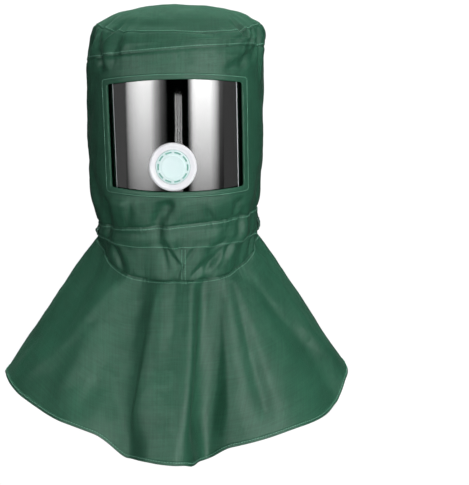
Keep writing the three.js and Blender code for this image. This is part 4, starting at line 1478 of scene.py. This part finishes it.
stitches = Stitches()
for stitched, away, edge in (
    (crown, 3.2, "foot"),
    (band, 3.0, "foot"),
    (upper, 2.6, "foot"),
    (upper, 3.0, "top"),
    (cape, 3.2, "top"),
    (cape, 0.65 * HEM_ROLL, "foot"),
):
    stitches.row(*row_path(stitched, away, edge))
for side in (-1, 1):
    stitches.row(*column_path(front, side * (SIDE_SEAM - SIDE_STITCH)))
for side in (-1, 1):
    stitches.row(*column_path(lower, CENTRE_SEAM, side * CENTRE_STITCH, CENTRE_ROWS))
window_row = window_outline(0.8 * BINDING_WIDTH, 0.8 * BINDING_WIDTH, 600)
window_row = np.concatenate([window_row, window_row[:1]])
window_points, window_normals = addressed(
    window_row, np.full(len(window_row), GAP + BINDING * 0.72)
)
stitches.row(window_points, window_normals, pitch=3.2)
sewn = stitches.make("thread_stitches")
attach(sewn, "root")


# The stage: a pale floor, a white surround, soft boxes and the camera. Metres from here on.

def card(name, centre, toward, width, height, material):
    """A flat card that faces a point. The camera doesn't see it."""
    mesh = bpy.data.meshes.new(name)
    w, h = width / 2, height / 2
    mesh.from_pydata([(-w, -h, 0), (w, -h, 0), (w, h, 0), (-w, h, 0)], [], [(0, 1, 2, 3)])
    mesh.materials.append(material)
    made = add_object(name, mesh)
    look = (Vector(toward) - Vector(centre)).normalized()
    side = look.cross(Vector((0, 0, 1))).normalized()
    rotation = Matrix((-side, side.cross(look), look)).transposed().to_4x4()
    made.matrix_world = Matrix.Translation(centre) @ rotation
    made.visible_camera = False
    return made


BOX_DISTANCE = 1.9
BOX_AIM = Vector((0, 0, -0.22))
BOX_FOOT = 0.13  # places up a box, as shares, where its light starts and is full
BOX_FULL = 0.81


def soft_box(name, inner, outer, elevation, height, strength, low=1, across=((0, 1), (1, 1))):
    """A glowing card between two azimuths from straight ahead, its light by place on it.

    low is the share of its light at its foot, across its light from its outer to its inner
    edge as (place, share) rows."""
    a, e = (inner + outer) / 2 * DEGREE, elevation * DEGREE
    way = Vector((math.sin(a) * math.cos(e), -math.cos(a) * math.cos(e), math.sin(e)))
    width = 2 * BOX_DISTANCE * math.tan(abs(outer - inner) / 2 * DEGREE)
    material, tree = new_material(name)
    place_on = node(tree, "SeparateXYZ", Vector=node(tree, "TexCoord")["Generated"])
    rise = node(
        tree, "MapRange", Value=place_on["Y"], From_Min=BOX_FOOT, From_Max=BOX_FULL,
        To_Min=strength * low, To_Max=strength,
    )
    shade = color_ramp(tree, place_on["X"], [(at, (share,) * 3) for at, share in across])
    light = node(tree, "Emission", Color=shade, Strength=rise["Result"])
    node(tree, "OutputMaterial", Surface=light["Emission"])
    return card(name, BOX_AIM + way * BOX_DISTANCE, BOX_AIM, width, height, material)


# What the window mirrors: two soft boxes, dimmer towards their feet, and dim cards beside them
RIGHT_ACROSS = (
    (0, 0.04), (0.14, 0.08), (0.30, 0.62), (0.44, 1), (0.80, 1), (0.88, 0.85), (0.95, 0.25),
    (1, 0.04),
)
LEFT_ACROSS = (
    (0, 0), (0.13, 0.10), (0.25, 0.42), (0.35, 0.92), (0.48, 1), (0.62, 0.93), (0.76, 0.76),
    (0.89, 0.5), (1, 0.07),
)
mirrored = [
    soft_box("soft_box_right", 10, 58, 0, 0.9, 7.2, 0, RIGHT_ACROSS),
    soft_box("soft_box_left", -7, -63, 0, 0.9, 6.0, 0, LEFT_ACROSS),
    soft_box("side_card_right", 58, 92, 4, 1.2, 0.2),
    soft_box("side_card_left", -63, -92, 4, 1.2, 0.26),
]

# What lights the cloth without being mirrored: a key, one overhead and one behind
for unmirrored in (
    soft_box("soft_box_key", 8, 44, 10, 0.9, 6.6),
    soft_box("soft_box_top", -25, 25, 88, 1.0, 2.4),
    soft_box("soft_box_rear", 155, 205, 56, 1.0, 13.0),
):
    unmirrored.visible_glossy = False

# What does both: one low ahead and two high ones
soft_box("soft_box_low", -30, 30, -32, 1.0, 1.35)
soft_box("soft_box_high_left", -65, -25, 55, 1.0, 0.3)
soft_box("soft_box_high_right", 25, 65, 50, 1.0, 1.5)

# The thin bright stripes that the window's middle mirrors, on a dimmer strip
STRIPES = 4
STRIPE_PITCH = 0.026
STRIPE_WIDTH = 0.011
STRIPE_HEIGHT = 0.62
STRIPES_CENTRE = 0.036
STRIPES_Y = -1.22
STRIPES_Z = -0.42
STRIP_WIDTH = 0.11
STRIP_BEHIND = 0.005


def stripe_card(name, x, y, width, material):
    return card(name, (x, y, STRIPES_Z), (x, 0, STRIPES_Z), width, STRIPE_HEIGHT, material)


stripe_glow = glow_material("stripe_glow", 2.0)
for stripe in range(STRIPES):
    stripe_x = STRIPES_CENTRE + (stripe - (STRIPES - 1) / 2) * STRIPE_PITCH
    mirrored.append(stripe_card(f"stripe_{stripe}", stripe_x, STRIPES_Y, STRIPE_WIDTH, stripe_glow))
mirrored.append(
    stripe_card(
        "stripe_back", STRIPES_CENTRE, STRIPES_Y - STRIP_BEHIND, STRIP_WIDTH,
        glow_material("stripe_back_glow", 0.45),
    )
)
for mirror_card in mirrored:
    mirror_card.visible_diffuse = False

SURROUND_RADIUS = 9
FLOOR_HALF = 6
FLOOR_Z = -0.95

surround_mesh = bpy.data.meshes.new("surround")
sphere = bmesh.new()
bmesh.ops.create_uvsphere(sphere, u_segments=24, v_segments=12, radius=SURROUND_RADIUS)
sphere.to_mesh(surround_mesh)
sphere.free()
surround_mesh.materials.append(glow_material("surround_white", 1.05))

floor_mesh = bpy.data.meshes.new("pale_floor")
floor_corners = [
    (x * FLOOR_HALF, y * FLOOR_HALF, FLOOR_Z) for x, y in ((-1, -1), (1, -1), (1, 1), (-1, 1))
]
floor_mesh.from_pydata(floor_corners, [], [(0, 1, 2, 3)])
floor_mesh.materials.append(glow_material("floor_white", 1.02))

for thing in (add_object("surround", surround_mesh), add_object("pale_floor", floor_mesh)):
    thing.visible_diffuse = False
    thing.visible_glossy = False
    thing.visible_transmission = False
    thing.visible_shadow = False

ROOM_TINT = (0.9, 0.97, 1.0, 1)
ROOM_LIGHT = 0.24
world = bpy.data.worlds.new("studio")
world.use_nodes = True
background = world.node_tree.nodes["Background"]
background.inputs["Color"].default_value = ROOM_TINT
background.inputs["Strength"].default_value = ROOM_LIGHT
world.cycles_visibility.glossy = False
bpy.context.scene.world = world

CAMERA_LENS = 62.29
CAMERA_SENSOR = 36
CAMERA_PLACE = (0, -1.2, -0.12664)
CAMERA_YAW = 3.926 * DEGREE
CAMERA_DOWN = 9.571 * DEGREE

camera_data = bpy.data.cameras.new("camera")
camera_data.lens = CAMERA_LENS
camera_data.sensor_width = CAMERA_SENSOR
camera_data.clip_start = 0.05
camera_data.clip_end = 40
camera = add_object("camera", camera_data)
level = Vector((math.sin(CAMERA_YAW), math.cos(CAMERA_YAW), 0))
forward = level * math.cos(CAMERA_DOWN) - Vector((0, 0, math.sin(CAMERA_DOWN)))
right_way = Vector((math.cos(CAMERA_YAW), -math.sin(CAMERA_YAW), 0))
camera_turn = Matrix((right_way, right_way.cross(forward), -forward)).transposed().to_4x4()
camera.matrix_world = Matrix.Translation(CAMERA_PLACE) @ camera_turn
bpy.context.scene.camera = camera
bpy.context.scene.view_settings.view_transform = "Standard"
